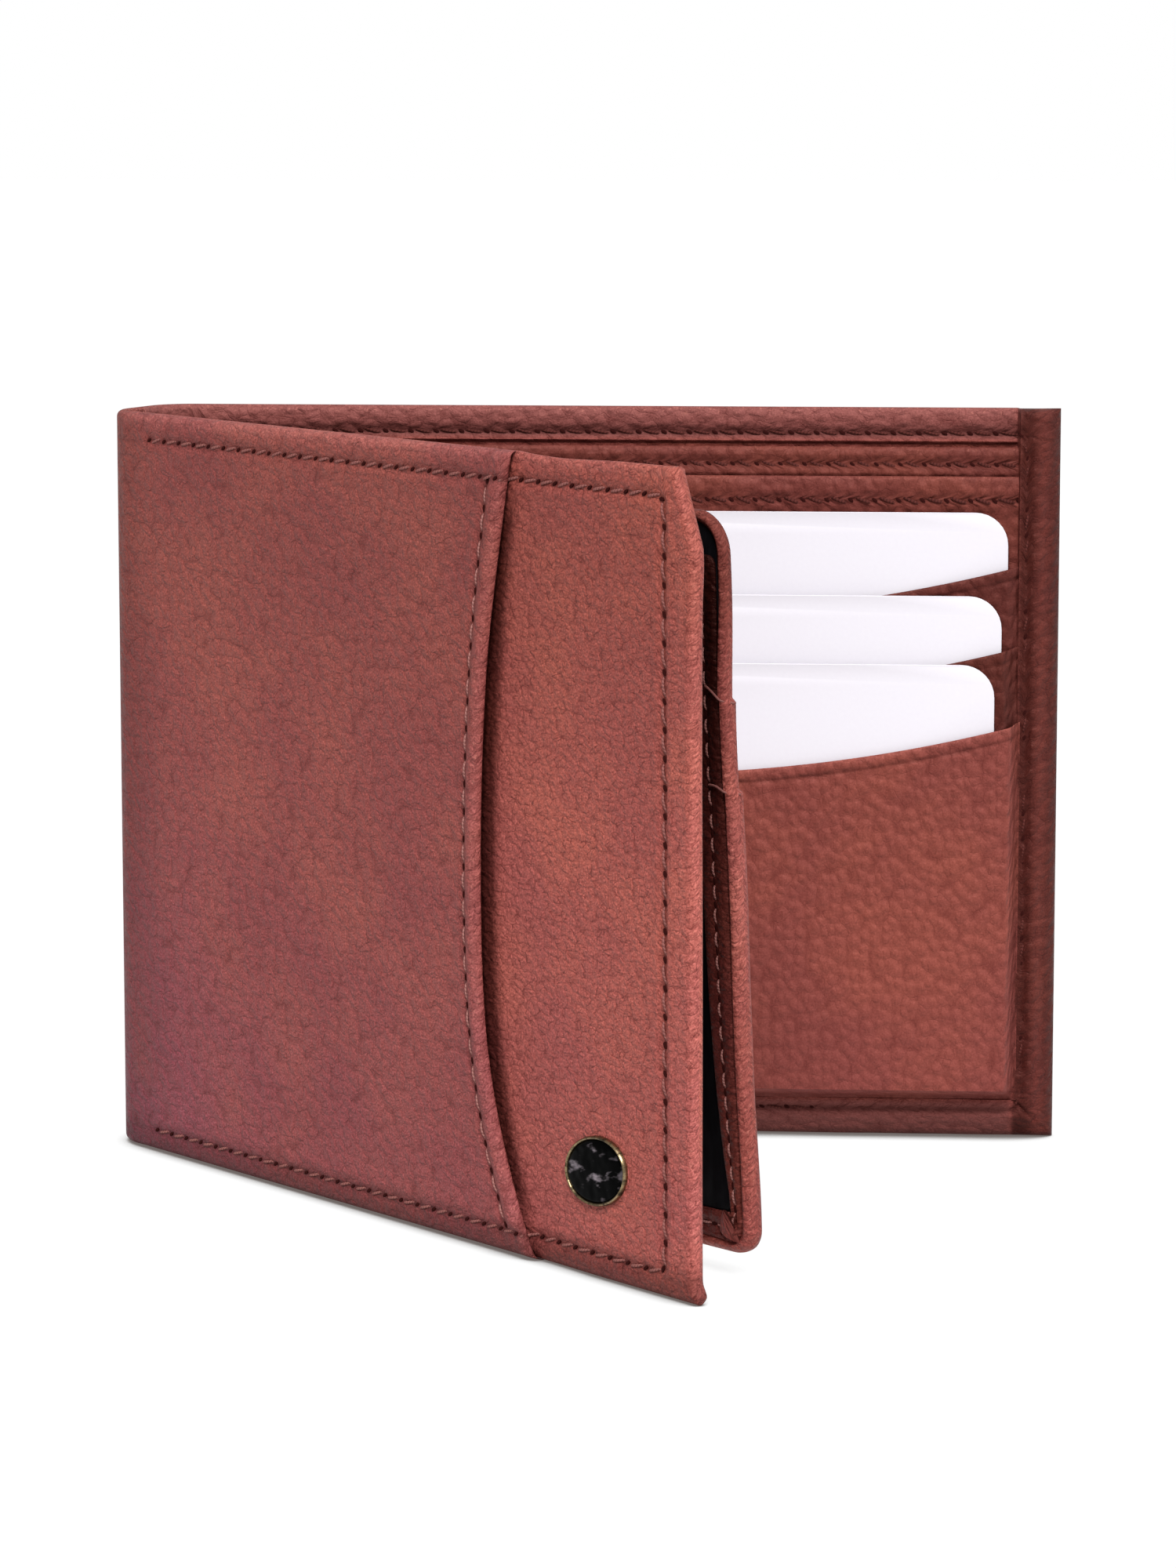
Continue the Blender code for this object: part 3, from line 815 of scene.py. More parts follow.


# The cover's two leathers are lighter than the back's and the inside's. This is partly the leathers' own tone
# and partly painted light, making up for the key light that reaches the cover at a slant.
POCKET_LEATHER = leather(
    "leather_pocket", linear(127, 64, 61), linear(72, 23, 22), linear(139, 73, 65), cell=1.5, relief=1.2,
    creases=0.4, cool=linear(115, 58, 80), cool_share=towards_low_fold)
STRIP_LEATHER = leather(
    "leather_strip", linear(145, 74, 67), linear(76, 24, 22), linear(158, 83, 70), cell=1.0, relief=0.8,
    creases=0.62, cool=linear(140, 72, 79), cool_share=towards_low_fold)
BACK_LEATHER = leather(
    "leather_back", linear(118, 57, 51), linear(66, 21, 20), linear(128, 64, 55), cell=1.55, relief=1.2,
    creases=0.4, fine_relief=0.6, wander=0.7, cool=linear(114, 64, 60), cool_share=where_cool)
INNER_LEATHER = leather(
    "leather_inside", linear(115, 58, 52), linear(66, 21, 19), linear(126, 65, 55), cell=1.5, relief=1.35,
    creases=0.22, fine_relief=0.4, wander=0.6, cool=linear(112, 50, 60), cool_share=towards_low_fold,
    pebble_shape=(1.12, 0.90), wrinkle_shape=(1.0, 0.6))
EDGE_LEATHER = leather(
    "leather_turned", linear(120, 57, 52), linear(70, 22, 20), linear(136, 68, 58), cell=1.0, relief=0.9,
    creases=0.55)
THREAD = thread_finish("thread_brown", linear(120, 68, 62), linear(62, 28, 26))
THREAD_DARK = thread_finish("thread_shaded", linear(78, 38, 34), linear(44, 18, 16))
THREAD_WORN = thread_finish("thread_worn", linear(131, 83, 78), linear(80, 42, 39))
THREAD_LIGHT = thread_finish("thread_mauve", linear(150, 104, 98), linear(104, 60, 56))
HOLE = hole_finish()
LINING = lining_finish()
CARD = card_finish()
WINDOW_BLACK = window_finish()
BRASS = brass_finish()
ENAMEL = enamel_finish()


# Seam paths


def perimeter(start, side, foot, top, corner=0.8):
    """Along the foot, round the free edge and back along the top."""
    return [(start, foot), (side - corner, foot), (side, foot + corner), (side, top - corner),
            (side - corner, top), (start, top)]


COVER_SEAM = Seam(perimeter(SEAM_START, SEAM_SIDE, SEAM_FOOT, SEAM_TOP))
BACK_SEAM = Seam(perimeter(SEAM_START, BACK_SEAM_SIDE, BACK_SEAM_FOOT, SEAM_TOP))
POCKET_SEAM = Seam([(pocket_edge(z) - POCKET_BEAD, z)
                    for z in np.linspace(SEAM_FOOT + 0.6, SEAM_TOP - 0.4, 60)])
DIVIDER_SEAM = Seam([(SEAM_START, DIVIDER[2] - 2.1), (104.2, DIVIDER[2] - 2.1)], pitch=2.9)
BACKING_SEAM = Seam([(SEAM_START, BACKING[2] - 2.9), (104.0, BACKING[2] - 2.9)], pitch=2.9)


# Outer leather


def border_depth(distance, edge, lip, width):
    """Inner face of a turned hem, which is thin at the very edge."""
    return edge + (lip - edge) * smooth(distance, 0, width)


def hem_step(distance, width):
    """1 on a hem, 0 inside it, with a softly rounded cut edge."""
    return smooth(distance, width + 0.12, width - 0.22)


def back_inner_face(u, z):
    """Depth of the back's inner face: thin near the spine, thick where its edges are turned in."""
    right, foot, top = LENGTH - u, z, HEIGHT - z
    distance = np.minimum(right, np.where(u > PANEL_START, foot, 99.0))
    wide = smooth(u, PANEL_START - 1, PANEL_START + 2.5)
    lip = TOP_HEM + (HEM_LIP - TOP_HEM) * wide
    thick_edge = border_depth(distance, TOP_HEM + (EDGE_LIP - TOP_HEM) * wide, lip, HEM_SLOPE)
    thick_edge -= 0.35 * bump(right - foot, 0, 0.35) * (right < BACK_HEM) * (foot < BACK_HEM)
    thick_edge += 0.12 * swell(u, z, 5, 5) * (distance < BACK_HEM)
    thin_edge = TOP_HEM + 0.12 * bump(top, 1.4, 0.9) - 0.10 * bump(top, 3.1, 0.5)
    back = LEATHER + (thin_edge - LEATHER) * hem_step(top, HEM - 0.1)
    return back + (thick_edge - back) * hem_step(distance, BACK_HEM)


def back_outer():
    us = lines(BACK_FOLD.middle, LENGTH, FINE, edge_lines(LENGTH, 1.2, -1), row_lines(BACK_SEAM_SIDE),
               step_lines(LENGTH - BACK_HEM), np.arange(LENGTH - BACK_HEM, LENGTH, DENSE))
    zs = lines(0, HEIGHT, FINE_Z, edge_lines(0, 1.0, 1), edge_lines(HEIGHT, 0.7, -1),
               row_lines(BACK_SEAM_FOOT), row_lines(SEAM_TOP), step_lines(BACK_HEM),
               step_lines(HEIGHT - HEM + 0.1), np.arange(0, BACK_HEM, DENSE))
    u, z = grid(us, zs)
    right, foot, top = LENGTH - u, z, HEIGHT - z
    pull, row = BACK_SEAM.relief(u, z, 0.26)
    front = 0.22 * swell(u, z, 3, 30) * smooth(right, 0, 12) * smooth(u, 2, 14) * smooth(top, 0, 10)
    front = front * smooth(foot, 0, 10) + pull
    back = back_inner_face(u, z) - 1.1 * pull
    front, back = round_off(front, back, np.minimum(right, foot), FOOT_ROUND)
    front, back = round_off(front, back, top, TOP_ROUND)

    hem_edge = np.minimum(right, np.where(u > PANEL_START, foot, 99.0))
    # The right hem is darker, partly from its own darker colour and partly from painted shade, with a painted
    # highlight band down its middle. Painted shade lies on the foot hem and along the stitch rows. The edges
    # and the hem's inner fold are lightened partly by rubbing and partly by painted highlight.
    dark = 0.95 * smooth(right, BACK_HEM + 0.2, BACK_HEM - 0.6) - 0.85 * bump(right, 2.0, 0.9)
    low_dark = 0.2 * smooth(foot, BACK_HEM + 0.2, BACK_HEM - 0.4)
    turned_in = np.maximum(smooth(top, HEM, HEM - 1), smooth(foot, BACK_HEM, BACK_HEM - 1))
    obj = leaf("back_outer_leather", BACK_FOLD, u, z, front, back, BACK_LEATHER, {
        "wear_and_highlight": most(bump(least(right, foot, top), 0.2, 0.8), 0.6 * bump(hem_edge, BACK_HEM, 0.3)),
        "painted_shade": most(row, dark, low_dark),
        "shadow": 0.55 * smooth(right, BACK_HEM + 0.2, BACK_HEM - 0.4),
        "cool": turned_in * smooth(right, 4, 6)})
    fit(obj, "leather_outer", None, "back_shell", "spine_leather")
    BACK_FOLD.bend(obj, "back")


def back_seams():
    def inside_depth(u, z):
        edge = np.minimum(LENGTH - u, z)
        by_hem = smooth(edge, BACK_HEM + 0.2, BACK_HEM - 0.2)
        depth = border_depth(edge, EDGE_LIP, HEM_LIP, HEM_SLOPE)
        return TOP_HEM - 0.18 + (depth - 0.15 - TOP_HEM) * by_hem

    sides = (("back_outer_stitches", level(0.14), -1, THREAD),
             ("back_hem_stitches", inside_depth, 1, THREAD_DARK))
    for name, depth, side, thread in sides:
        row = stitches(name, BACK_SEAM, BACK, depth, side, thread, slant=-0.2 * side, radius=0.15)
        fit(row, "thread", "back")


def lining(name, fold, depth, body, nodes):
    """Cloth behind the leather, from the middle of the spine out along a half."""
    u, z = grid(lines(fold.middle, LINING_END, 1.2), lines(*LINING_Z, 2.0))
    front = depth + 0.05 * swell(u, z, 11, 9)
    obj = leaf(name, fold, u, z, front, front + 0.18, LINING)
    fit(obj, "lining", None, *nodes)
    fold.bend(obj, body)


def pocket_lift(distance, top, foot):
    """How far the pocket's curved edge stands off the cover."""
    return 0.55 * smooth(distance, 5.0, 0.0) * smooth(np.minimum(top, foot), 4.0, 26.0)


def pocket_face(u, z):
    """Depth of the pocket panel's outer face."""
    distance, top, foot = pocket_edge(z) - u, HEIGHT - z, z
    inside = smooth(u, 2, 12) * smooth(np.minimum(top, foot), 0, 9)
    face = -0.3 * inside * (0.6 + 0.6 * swell(u, z, 8, 34)) * smooth(distance, POCKET_BEAD, 16)
    bead = 0.5 * bump(distance, 1.4, 1.0)
    pinch = smooth(np.minimum(top, foot), 1.2, 5.0)
    return face - bead * (0.35 + 0.65 * pinch) - pocket_lift(distance, top, foot)


def pocket_faces(u, z, pull):
    """Both faces of the pocket panel, wrapped round its edges and joining the back's profile at the spine."""
    distance, top, foot = pocket_edge(z) - u, HEIGHT - z, z
    front = pocket_face(u, z) + pull
    back = np.maximum(POCKET_THICK - pocket_lift(distance, top, foot), front + 0.3)
    close = quarter_round(distance, 0.6)
    middle = back - 0.3
    front = middle + (front - middle) * close
    back = middle + (back - middle) * close
    front = 0.85 + (front - 0.85) * quarter_round(np.minimum(top, foot), 0.95)
    back = np.maximum(back, front + 0.02)
    tuck = 0.8 * (1 - quarter_round(foot, 1.1)) + 0.35 * (1 - quarter_round(top, 0.6))
    return front + tuck, back + tuck


def spine_faces(front, top, foot):
    """Both faces of the cover's leather where it meets the back's at the middle of the spine."""
    back = LEATHER + (TOP_HEM - LEATHER) * hem_step(top, HEM - 0.1)
    return round_off(*round_off(front, back, foot, FOOT_ROUND), top, TOP_ROUND)


def pocket_panel():
    fold, reach = COVER_FOLD, POCKET_WAIST
    us = lines(fold.middle, reach, FINE, edge_lines(reach, 0.9, -1), row_lines(reach - POCKET_BEAD),
               np.arange(reach - 3.2, reach, DENSE))
    zs = lines(0, HEIGHT, FINE_Z, edge_lines(0, 0.9, 1), edge_lines(HEIGHT, 0.9, -1), row_lines(SEAM_FOOT),
               row_lines(SEAM_TOP))
    flat_u, z = grid(us, zs)
    u = flat_u + (pocket_edge(z) - reach) * smooth(flat_u, 15, reach - 8)
    distance, top, foot = pocket_edge(z) - u, HEIGHT - z, z
    pull, row = COVER_SEAM.relief(u, z, 0.3)
    side_pull, side_row = POCKET_SEAM.relief(u, z, 0.26, 0.5)
    away = smooth(u, fold.middle + 2.5, fold.middle + 11.0)
    front, back = (spine + (free - spine) * away for spine, free in zip(
        spine_faces(pull, top, foot), pocket_faces(u, z, pull + side_pull)))
    # Painted highlight on the pocket's edge bead and top rim, beside their rubbing. Painted shade darkens the
    # panel near the fold, towards the top, along the foot and along its stitch rows.
    obj = leaf("cover_pocket_leather", fold, u, z, front, back, POCKET_LEATHER, {
        "wear_and_highlight": most(1.1 * bump(distance, 0.7, 0.6), 1.8 * bump(top, 0.3, 0.9), 0.6 * bump(foot, 0, 0.9)),
        "painted_shade": most(row, side_row, 0.7 * smooth(u, 16, -2), 0.22 * smooth(z, 45, 82),
                       0.4 * smooth(foot, 5.5, 1.0)),
        "shadow": foot_shade(z)}, shift=(40.0, 12.0))
    fit(obj, "leather_outer", None, "cover_pocket_panel")
    fold.bend(obj, "cover")


def foot_shade(z):
    """Painted shade along the cover's foot, darker towards the bottom edge."""
    return 0.4 * smooth(z, 5.0, 1.2)


def base_face(u, z):
    """Depth of the cover's base leather, which rises to the pocket panel's level away from it."""
    return BASE_FACE - 0.35 * smooth(u - pocket_edge(z), 0.5, 12) + 0.08 * swell(u, z, 21, 26)


def worn_outline(u, z):
    """The base leather's outline: a rubbed-down upper corner, a nub at the lower one and a sagging top edge.
    """
    right, top, foot = LENGTH - u, HEIGHT - z, z
    nub = 2.0 * bump(right, 0.4, 1.1) * bump(foot, 0.8, 0.9)
    worn_corner = 3.1 * np.clip((z - 81.0) / (HEIGHT - 81.0), 0, 1) ** 1.15
    edge_shift = 0.3 * bump(z, 79.5, 3.5) + 0.12 * swell(z, 0 * z, 71, 14) - worn_corner
    u = u + 0.35 * nub + edge_shift * smooth(u, SEAM_SIDE, LENGTH)
    sag = 0.32 * bump(u, 86.0, 7.0) * smooth(top, 2.6, 0.3)
    z = z - sag + 0.1 * bump(u - pocket_edge(z), 0.3, 1.2) * smooth(top, 2.0, 0.2)
    return u, z


def cover_base():
    us = lines(PANEL_START, LENGTH, FINE, edge_lines(LENGTH, 1.1, -1), row_lines(SEAM_SIDE),
               step_lines(LENGTH - HEM), np.arange(LENGTH - HEM, LENGTH, DENSE))
    zs = lines(0, HEIGHT, FINE_Z, edge_lines(0, 1.0, 1), edge_lines(HEIGHT, 0.6, -1), row_lines(SEAM_FOOT),
               row_lines(SEAM_TOP), step_lines(HEM), step_lines(HEIGHT - HEM))
    u, z = grid(us, zs)
    right, top, foot = LENGTH - u, HEIGHT - z, z
    pull, row = COVER_SEAM.relief(u, z, 0.34)
    shown = smooth(u - pocket_edge(z), -1.0, 0.4)
    distance = np.minimum(right, foot)
    back = 1.6 + (2.0 - 1.6) * hem_step(top, HEM)
    back = back + (border_depth(distance, 2.7, COVER_LIP, HEM) - back) * hem_step(distance, HEM)
    back = back - 0.2 * bump(right - foot, 0, 0.3) * (right < HEM) * (foot < HEM)
    front, back = round_off(base_face(u, z) + pull * shown, back, distance, 1.1)
    front, back = round_off(front, back, top, 0.55)
    u, z = worn_outline(u, z)
    shade = 0.85 * smooth(u - pocket_edge(z), 2.6, 0.2) ** 1.3 * smooth(np.minimum(top, foot), 1.5, 9.0)
    # Painted highlight on the top rim and the free edge, beside their rubbing. Painted shade darkens the
    # strip towards the top, along the foot and along its stitch rows, and the shadow beside the pocket's edge
    # is painted too.
    obj = leaf("cover_base_leather", COVER, u, z, front, back, STRIP_LEATHER, {
        "wear_and_highlight": most(bump(np.minimum(distance, top), 0, 0.8), 0.35 * bump(right, 1.9, 1.6),
                     1.2 * bump(top, 0.3, 0.8)),
        "painted_shade": most(row * shown, 0.36 * smooth(z, 45, 82), 0.6 * smooth(foot, 5.5, 1.0)),
        "shadow": most(shade, foot_shade(z))})
    fit(obj, "leather_outer", "cover", "cover_shell")


def cover_surface(u, z):
    """Depth of whichever leather is outermost on the cover, with its bead at the pocket's edge."""
    return np.where(u < pocket_edge(z) - 0.35, pocket_face(u, z), base_face(u, z) - 0.02) + 0.16


def cover_seams():
    row = stitches("cover_outer_stitches", COVER_SEAM, COVER, cover_surface, -1, THREAD_WORN, slant=0.28)
    fit(row, "thread", "cover", "cover_outer_thread")
    row = stitches("pocket_edge_stitches", POCKET_SEAM, COVER, cover_surface, -1, THREAD_LIGHT, slant=0.06,
                   radius=0.14)
    fit(row, "thread_light", "cover", "pocket_edge_thread")


# Inside panels


def panel(name, place, depths, seed, body, node, seam, face=0.45, dark=0.4):
    """A leather panel with a turned, puffed top edge over a row of stitches."""
    low, high, top = depths
    zs = lines(1.1, top, 1.6, edge_lines(top, 0.5, -1), row_lines(top - 2.3), np.arange(top - 5, top, 0.45))
    u, z = grid(lines(PANEL_START, PANEL_END, FINE), zs)
    drop = top - z
    pull, row = seam.relief(u, z, 0.34)
    front = high + 0.06 * swell(u, z, seed, 22)
    front = front + face * smooth(drop, 4.2, 3.0) * (1 - 0.3 * smooth(drop, 1.0, 0.0)) - pull * (drop < 4.5)
    front, back = round_off(front, np.full_like(front, low), drop, 0.5)
    # Painted shade over the panel's face, set by dark, and along its stitch row; painted highlight along its
    # turned top edge.
    obj = leaf(name, place, u, z, front, back, INNER_LEATHER,
               {"wear_and_highlight": 0.8 * bump(drop, 0.2, 0.6), "painted_shade": most(dark, row)},
               shift=(seed * 13.0, seed * 7.0))
    fit(obj, "leather_inner", body, node)


def card_slot(number):
    """A slot leather, formed over its card and drawn down into the seams round it."""
    depth, top = SLOT_DEPTHS[number], SLOT_TOPS[number]
    us = lines(SLOT_START, SLOT_END, 1.0, np.arange(98, SLOT_END, DENSE), np.arange(SLOT_START, 17, 0.6))
    mouth = mouth_at(us[:, None], top)
    low_rows = lines(4.9, 9.5, 0.4)
    upper = mouth - MOUTH_ROWS[::-1]
    centre = low_rows[-1] + (upper[:, :1] - low_rows[-1]) * np.linspace(0, 1, 45)[1:-1]
    z = np.concatenate([np.broadcast_to(low_rows, (len(us), len(low_rows))), centre, upper], axis=1)
    u = np.broadcast_to(us[:, None], z.shape)
    drop = mouth - z
    dive = smooth(u, SLOT_DIVES[number], SLOT_END - 0.1)
    dive = 1 - (1 - dive) * (1 - smooth(z, 6.7, 5.0)) * (1 - smooth(u, 14.5, SLOT_START + 0.3))
    low_level = 3.35 + 0.22 * number
    front = depth + (low_level - depth) * dive
    front = front + 0.10 * swell(u, z, 30 + number, 16) * (1 - dive)
    front = front - 0.13 * bump(drop, 1.5, 0.28) + 0.05 * bump(drop, 0.8, 0.5)
    front, back = round_off(front, front - 0.4 + 0.12 * dive, drop, 0.3)
    # Painted highlight along the mouth. Painted shade lies in the crease below it, where the leather dives to
    # its seam, and over the deeper slots' faces.
    obj = leaf(f"slot_leather_{number + 1}", BACK, u, z, front, back, INNER_LEATHER, {
        "wear_and_highlight": 0.75 * bump(drop, 0.15, 0.45),
        "painted_shade": most(0.7 * bump(drop, 1.5, 0.22), 0.7 * smooth(dive, 0.35, 1.0), SLOT_DARK[number]),
        "shadow": SLOT_SHADOW[number]}, shift=(number * 31.0, number * 17.0))
    fit(obj, "leather_inner", "back", f"card_slot_{number + 1}")


def card(number):
    right, top, depth = CARD_RIGHT[number], CARD_TOPS[number], CARD_DEPTHS[number]
    outline = rounded_outline(right - CARD_SIZE[0], right, top - CARD_SIZE[1], top, 4.0, per_side=6)
    obj = plate(f"blank_card_{number + 1}", BACK, outline, depth, depth + 0.4, CARD, bevel=0.05)
    fit(obj, "card", f"card_{number + 1}", f"card_{number + 1}")


def inside_seams():
    for name, seam, depth in (("bill_divider", DIVIDER_SEAM, DIVIDER[1]),
                              ("slot_backing", BACKING_SEAM, BACKING[1])):
        row = stitches(f"{name}_stitches", seam, BACK, level(depth + 0.22), 1, THREAD_DARK, slant=-0.34,
                       radius=0.21)
        fit(row, "thread", "back", f"{name}_thread")


def gusset():
    """Leather that joins the flap to the back half."""
    foot, top = 5.2, 80.0
    start, end = BACK(5.6, 2.95, 0.0)[:2], FLAP(1.6, 0.0, 40.0)[:2]
    ahead, behind = BACK(5.9, 6.6, 0.0)[:2], FLAP(-0.6, 0.0, 40.0)[:2]
    reach = np.linspace(0, 11, 15)
    t = np.linspace(0, 1, 15)[:, None]
    path = (1 - t)**3 * start + 3 * (1 - t)**2 * t * ahead + 3 * (1 - t) * t**2 * behind + t**3 * end
    run = np.gradient(path, axis=0)
    run /= np.linalg.norm(run, axis=1, keepdims=True)
    side = np.stack([-run[:, 1], run[:, 0]], -1) * 0.25 * MM

    def place(u, n, z):
        spots = [np.interp(u, reach, path[:, k]) + n * np.interp(u, reach, side[:, k]) for k in (0, 1)]
        return upright(np.stack(spots, -1), z)

    u, z = grid(reach, lines(foot, top, 2.0, edge_lines(top, 0.3, -1), edge_lines(foot, 0.3, 1)))
    front, back = round_off(np.ones_like(u), -np.ones_like(u), np.minimum(top - z, z - foot), 0.3)
    obj = leaf("flap_gusset_leather", place, u, z, front, back, INNER_LEATHER)
    fit(obj, "leather_inner", None, "flap_gusset")
    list(start)
    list(end)
    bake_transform(obj)


# Flap


def flap_piece(obj, slot, *nodes):
    """The flap's pieces ride on it."""
    fit(obj, slot, "flap", *nodes)
    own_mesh(obj)


def slots_at(z):
    """How many slot leathers lie on the flap at a height."""
    return smooth(z, 63.9, 63.3) + smooth(z, 54.0, 53.4)


def flap_spread(u, z):
    """How far the slot leathers and the edge's wearing push the flap's free edge out."""
    right = FLAP_END - u
    edge = 0.33 * slots_at(z) * smooth(right, 4, 0) + 0.25 * swell(z, z * 0 + 3, 46, 16) * smooth(right, 6, 0)
    return edge - 0.5 * smooth(z, 4, 22) * smooth(z, 76, 60) * smooth(right, 2.6, 0.6)


def frame_lean(z):
    """The border beside the free edge runs slightly aslant."""
    return 0.5 - 3.0 * (1 - np.exp(-np.maximum(z - 8, 0) / 14))


def round_corners(flat_u, flat_z):
    """Moves a square grid's free corners in onto the flap's round ones."""
    u, z = flat_u, flat_z
    for edge, radius, way in ((FLAP_FOOT, FLAP_CORNERS[0], -1), (FLAP_TOP, FLAP_CORNERS[1], 1)):
        cu, cz = FLAP_END - radius, edge - way * radius
        du, dz = flat_u - cu, (flat_z - cz) * way
        corner = (du > 0) & (dz > 0)
        square = np.maximum(du, dz)
        length = np.hypot(du, dz) + 1e-9
        u = np.where(corner, cu + du / length * square, u)
        z = np.where(corner, cz + way * dz / length * square, z)
    return u, z


def flap_core():
    """The flap's main leather: its free edge is turned and as thick as a bead."""
    us = lines(0.4, FLAP_END, 1.6, edge_lines(FLAP_END, 1.1, -1), np.arange(93, FLAP_END, 0.3))
    zs = lines(FLAP_FOOT, FLAP_TOP, 1.0, edge_lines(FLAP_FOOT, 1.0, 1), edge_lines(FLAP_TOP, 0.8, -1),
               np.arange(FLAP_FOOT, FLAP_FOOT + 6, 0.4), np.arange(FLAP_TOP - 6, FLAP_TOP, 0.4),
               *(step_lines(top) for top in FLAP_SLOT_TOPS))
    flat_u, flat_z = grid(us, zs)
    distance = least(FLAP_END - flat_u, FLAP_TOP - flat_z, flat_z - FLAP_FOOT)
    u, z = round_corners(flat_u, flat_z)
    tall = smooth(z, 60, 80)
    bead = smooth(distance, 2.1 - 0.6 * tall, 0.8 - 0.2 * tall)
    front = 0.30 + 0.92 * bead + 0.08 * swell(u, z, 44, 7) * bead
    back = -0.15 - 0.45 * bead - 0.28 * slots_at(z) * smooth(distance, 1.2, 0.2) + 0.06 * swell(u, z, 45, 9)
    u = u + flap_spread(flat_u, z)
    front, back = round_off(front, back, distance, 0.95)
    # Painted highlight along the bead, strongest at mid-height, beside the rubbing of its edge; painted shade
    # on the bead's inner slope and over its upper part.
    obj = leaf("flap_core_leather", FLAP, u, z, front, back, EDGE_LEATHER, {
        "wear_and_highlight": (0.9 + 1.2 * bump(z, 42, 14)) * bump(distance, 0.2, 0.9),
        "painted_shade": smooth(distance, 0.9, 1.8),
        "shadow": most(0.5 * smooth(z, 66, 78), 0.5 * smooth(distance, 1.1, 1.9))}, shift=(9.0, 3.0))
    flap_piece(obj, "leather_inner", "flap_panel")


def flap_frame():
    """The border round the window, with its seam."""
    outer = rounded_outline(PANEL_START, FLAP_END - 1.7, FLAP_FOOT + 1.3, WINDOW[3] + 1.0, 1.2)
    inner = rounded_outline(*WINDOW, 0.8)
    for outline, share in ((outer, 0.03), (inner, 1.0)):
        outline[:, 0] += flap_spread(outline[:, 0], outline[:, 1]) * (outline[:, 0] > 60)
        outline[:, 0] += share * frame_lean(outline[:, 1]) * (outline[:, 0] > 60)
    # Painted shade over the border, deepening towards the top, where it faces the cover across the narrow
    # gap.
    dark = np.repeat(0.8 + 0.6 * smooth(outer[:, 1], 30, 76), len(FRAME_SECTION))
    obj = band("window_frame_leather", FLAP, outer, inner, FRAME_SECTION, EDGE_LEATHER,
               {"wear_and_highlight": 0 * dark, "painted_shade": dark, "shadow": dark - 0.6}, shift=(50.0, 20.0))
    crumple_corner(obj)
    flap_piece(obj, "leather_inner", "window_frame")

    path = outer + (inner - outer) * 0.5
    start = int(np.argmin(np.hypot(path[:, 0] - 5, path[:, 1] - 5)))
    seam = Seam(np.roll(path, -start - 1, axis=0), pitch=2.6)
    row = stitches("window_frame_stitches", seam, FLAP, level(0.84), 1, THREAD_LIGHT, slant=0.05, radius=0.14)
    flap_piece(row, "thread_light", "window_frame_thread")


def crumple_corner(obj):
    """Wrinkles in the leather folded at the window's lower outer corner."""
    centre = Vector(FLAP(WINDOW[1] + 1.0, 0.9, WINDOW[2] - 1.5))
    out = Vector((*flap_to_cover, 0.0))
    for vert in obj.data.vertices:
        gap = (vert.co - centre).length / MM
        if gap < 6 and (vert.co - centre).dot(out) > -0.3 * MM:
            ridge = math.sin(vert.co.z / MM * 3.1) * math.cos((vert.co.x - vert.co.y) / MM * 2.3)
            vert.co += out * ridge * 0.7 * MM * math.exp(-(gap / 2.4) ** 2)


def corner_fold():
    """The tip of folded leather that stands up at the window's lower outer corner."""
    rise, across = grid(np.linspace(0, 1, 10), np.linspace(-1, 1, 9))
    u = WINDOW[1] + 0.5 + 1.6 * across * (1 - 0.94 * rise**1.3) - 0.6 * rise
    z = WINDOW[2] - 2.6 + 2.9 * rise - 0.5 * across * (1 - rise)
    front = 1.05 + 0.6 * (1 - across**2) * (1 - 0.7 * rise) + 0.3 * rise
    # Painted highlight on the fold's tip and painted shade on one side of it.
    rubbed_and_lit = {"wear_and_highlight": 0.5 + 0.5 * rise, "painted_shade": 0.5 + 0.5 * across}
    obj = leaf("window_corner_fold", FLAP, u, z, front, front - 0.3, EDGE_LEATHER, rubbed_and_lit, shift=(3.0, 60.0))
    flap_piece(obj, "leather_inner")


def window():
    # The black film reaches past the window up to the flap's top rim, standing in as painted shade for the
    # hollow of the pocket's mouth.
    outline = rounded_outline(WINDOW[0] - 0.6, FLAP_END - 1.5, WINDOW[2] - 0.6, FLAP_TOP - 1.2, 3.6)
    obj = plate("window_film_and_painted_shade", FLAP, outline, 0.34, 0.56, WINDOW_BLACK, bevel=0.06)
    flap_piece(obj, "window_black", "window_lining")


def flap_slot(number):
    foot, top = FLAP_FOOT + 2.0, FLAP_SLOT_TOPS[number]
    end = FLAP_END - 1.3 + 0.33 * (number + 1)
    zs = lines(foot, top, 1.6, edge_lines(top, 0.3, -1), row_lines(top - 1.6), edge_lines(foot, 0.3, 1))
    u, z = grid(lines(PANEL_START, end, 1.6, edge_lines(end, 0.3, -1)), zs)
    drop = top - z
    front = -0.87 - 0.42 * number + 0.10 * bump(drop, 1.6, 0.3) + 0.05 * swell(u, z, 60 + number, 15)
    front, back = round_off(front, front + 0.32, np.minimum(drop, end - u), 0.28)
    radius = FLAP_CORNERS[0] + 1.0
    above = np.clip(z - FLAP_FOOT - 0.8, 0, radius)
    corner = end - 0.9 - radius + np.sqrt(radius**2 - (radius - above) ** 2) + 0.9 * (above > radius - 0.01)
    u = PANEL_START + (u - PANEL_START) * (corner - PANEL_START) / (end - PANEL_START)
    # Painted highlight along the mouth and painted shade in the crease below it.
    obj = leaf(f"flap_slot_leather_{number + 1}", FLAP, u, z, front, back, INNER_LEATHER,
               {"wear_and_highlight": 0.8 * bump(drop, 0.1, 0.4), "painted_shade": 0.7 * bump(drop, 1.6, 0.22)},
               shift=(number * 19.0 + 5, number * 23.0))
    flap_piece(obj, "leather_inner", f"flap_slot_{number + 1}")


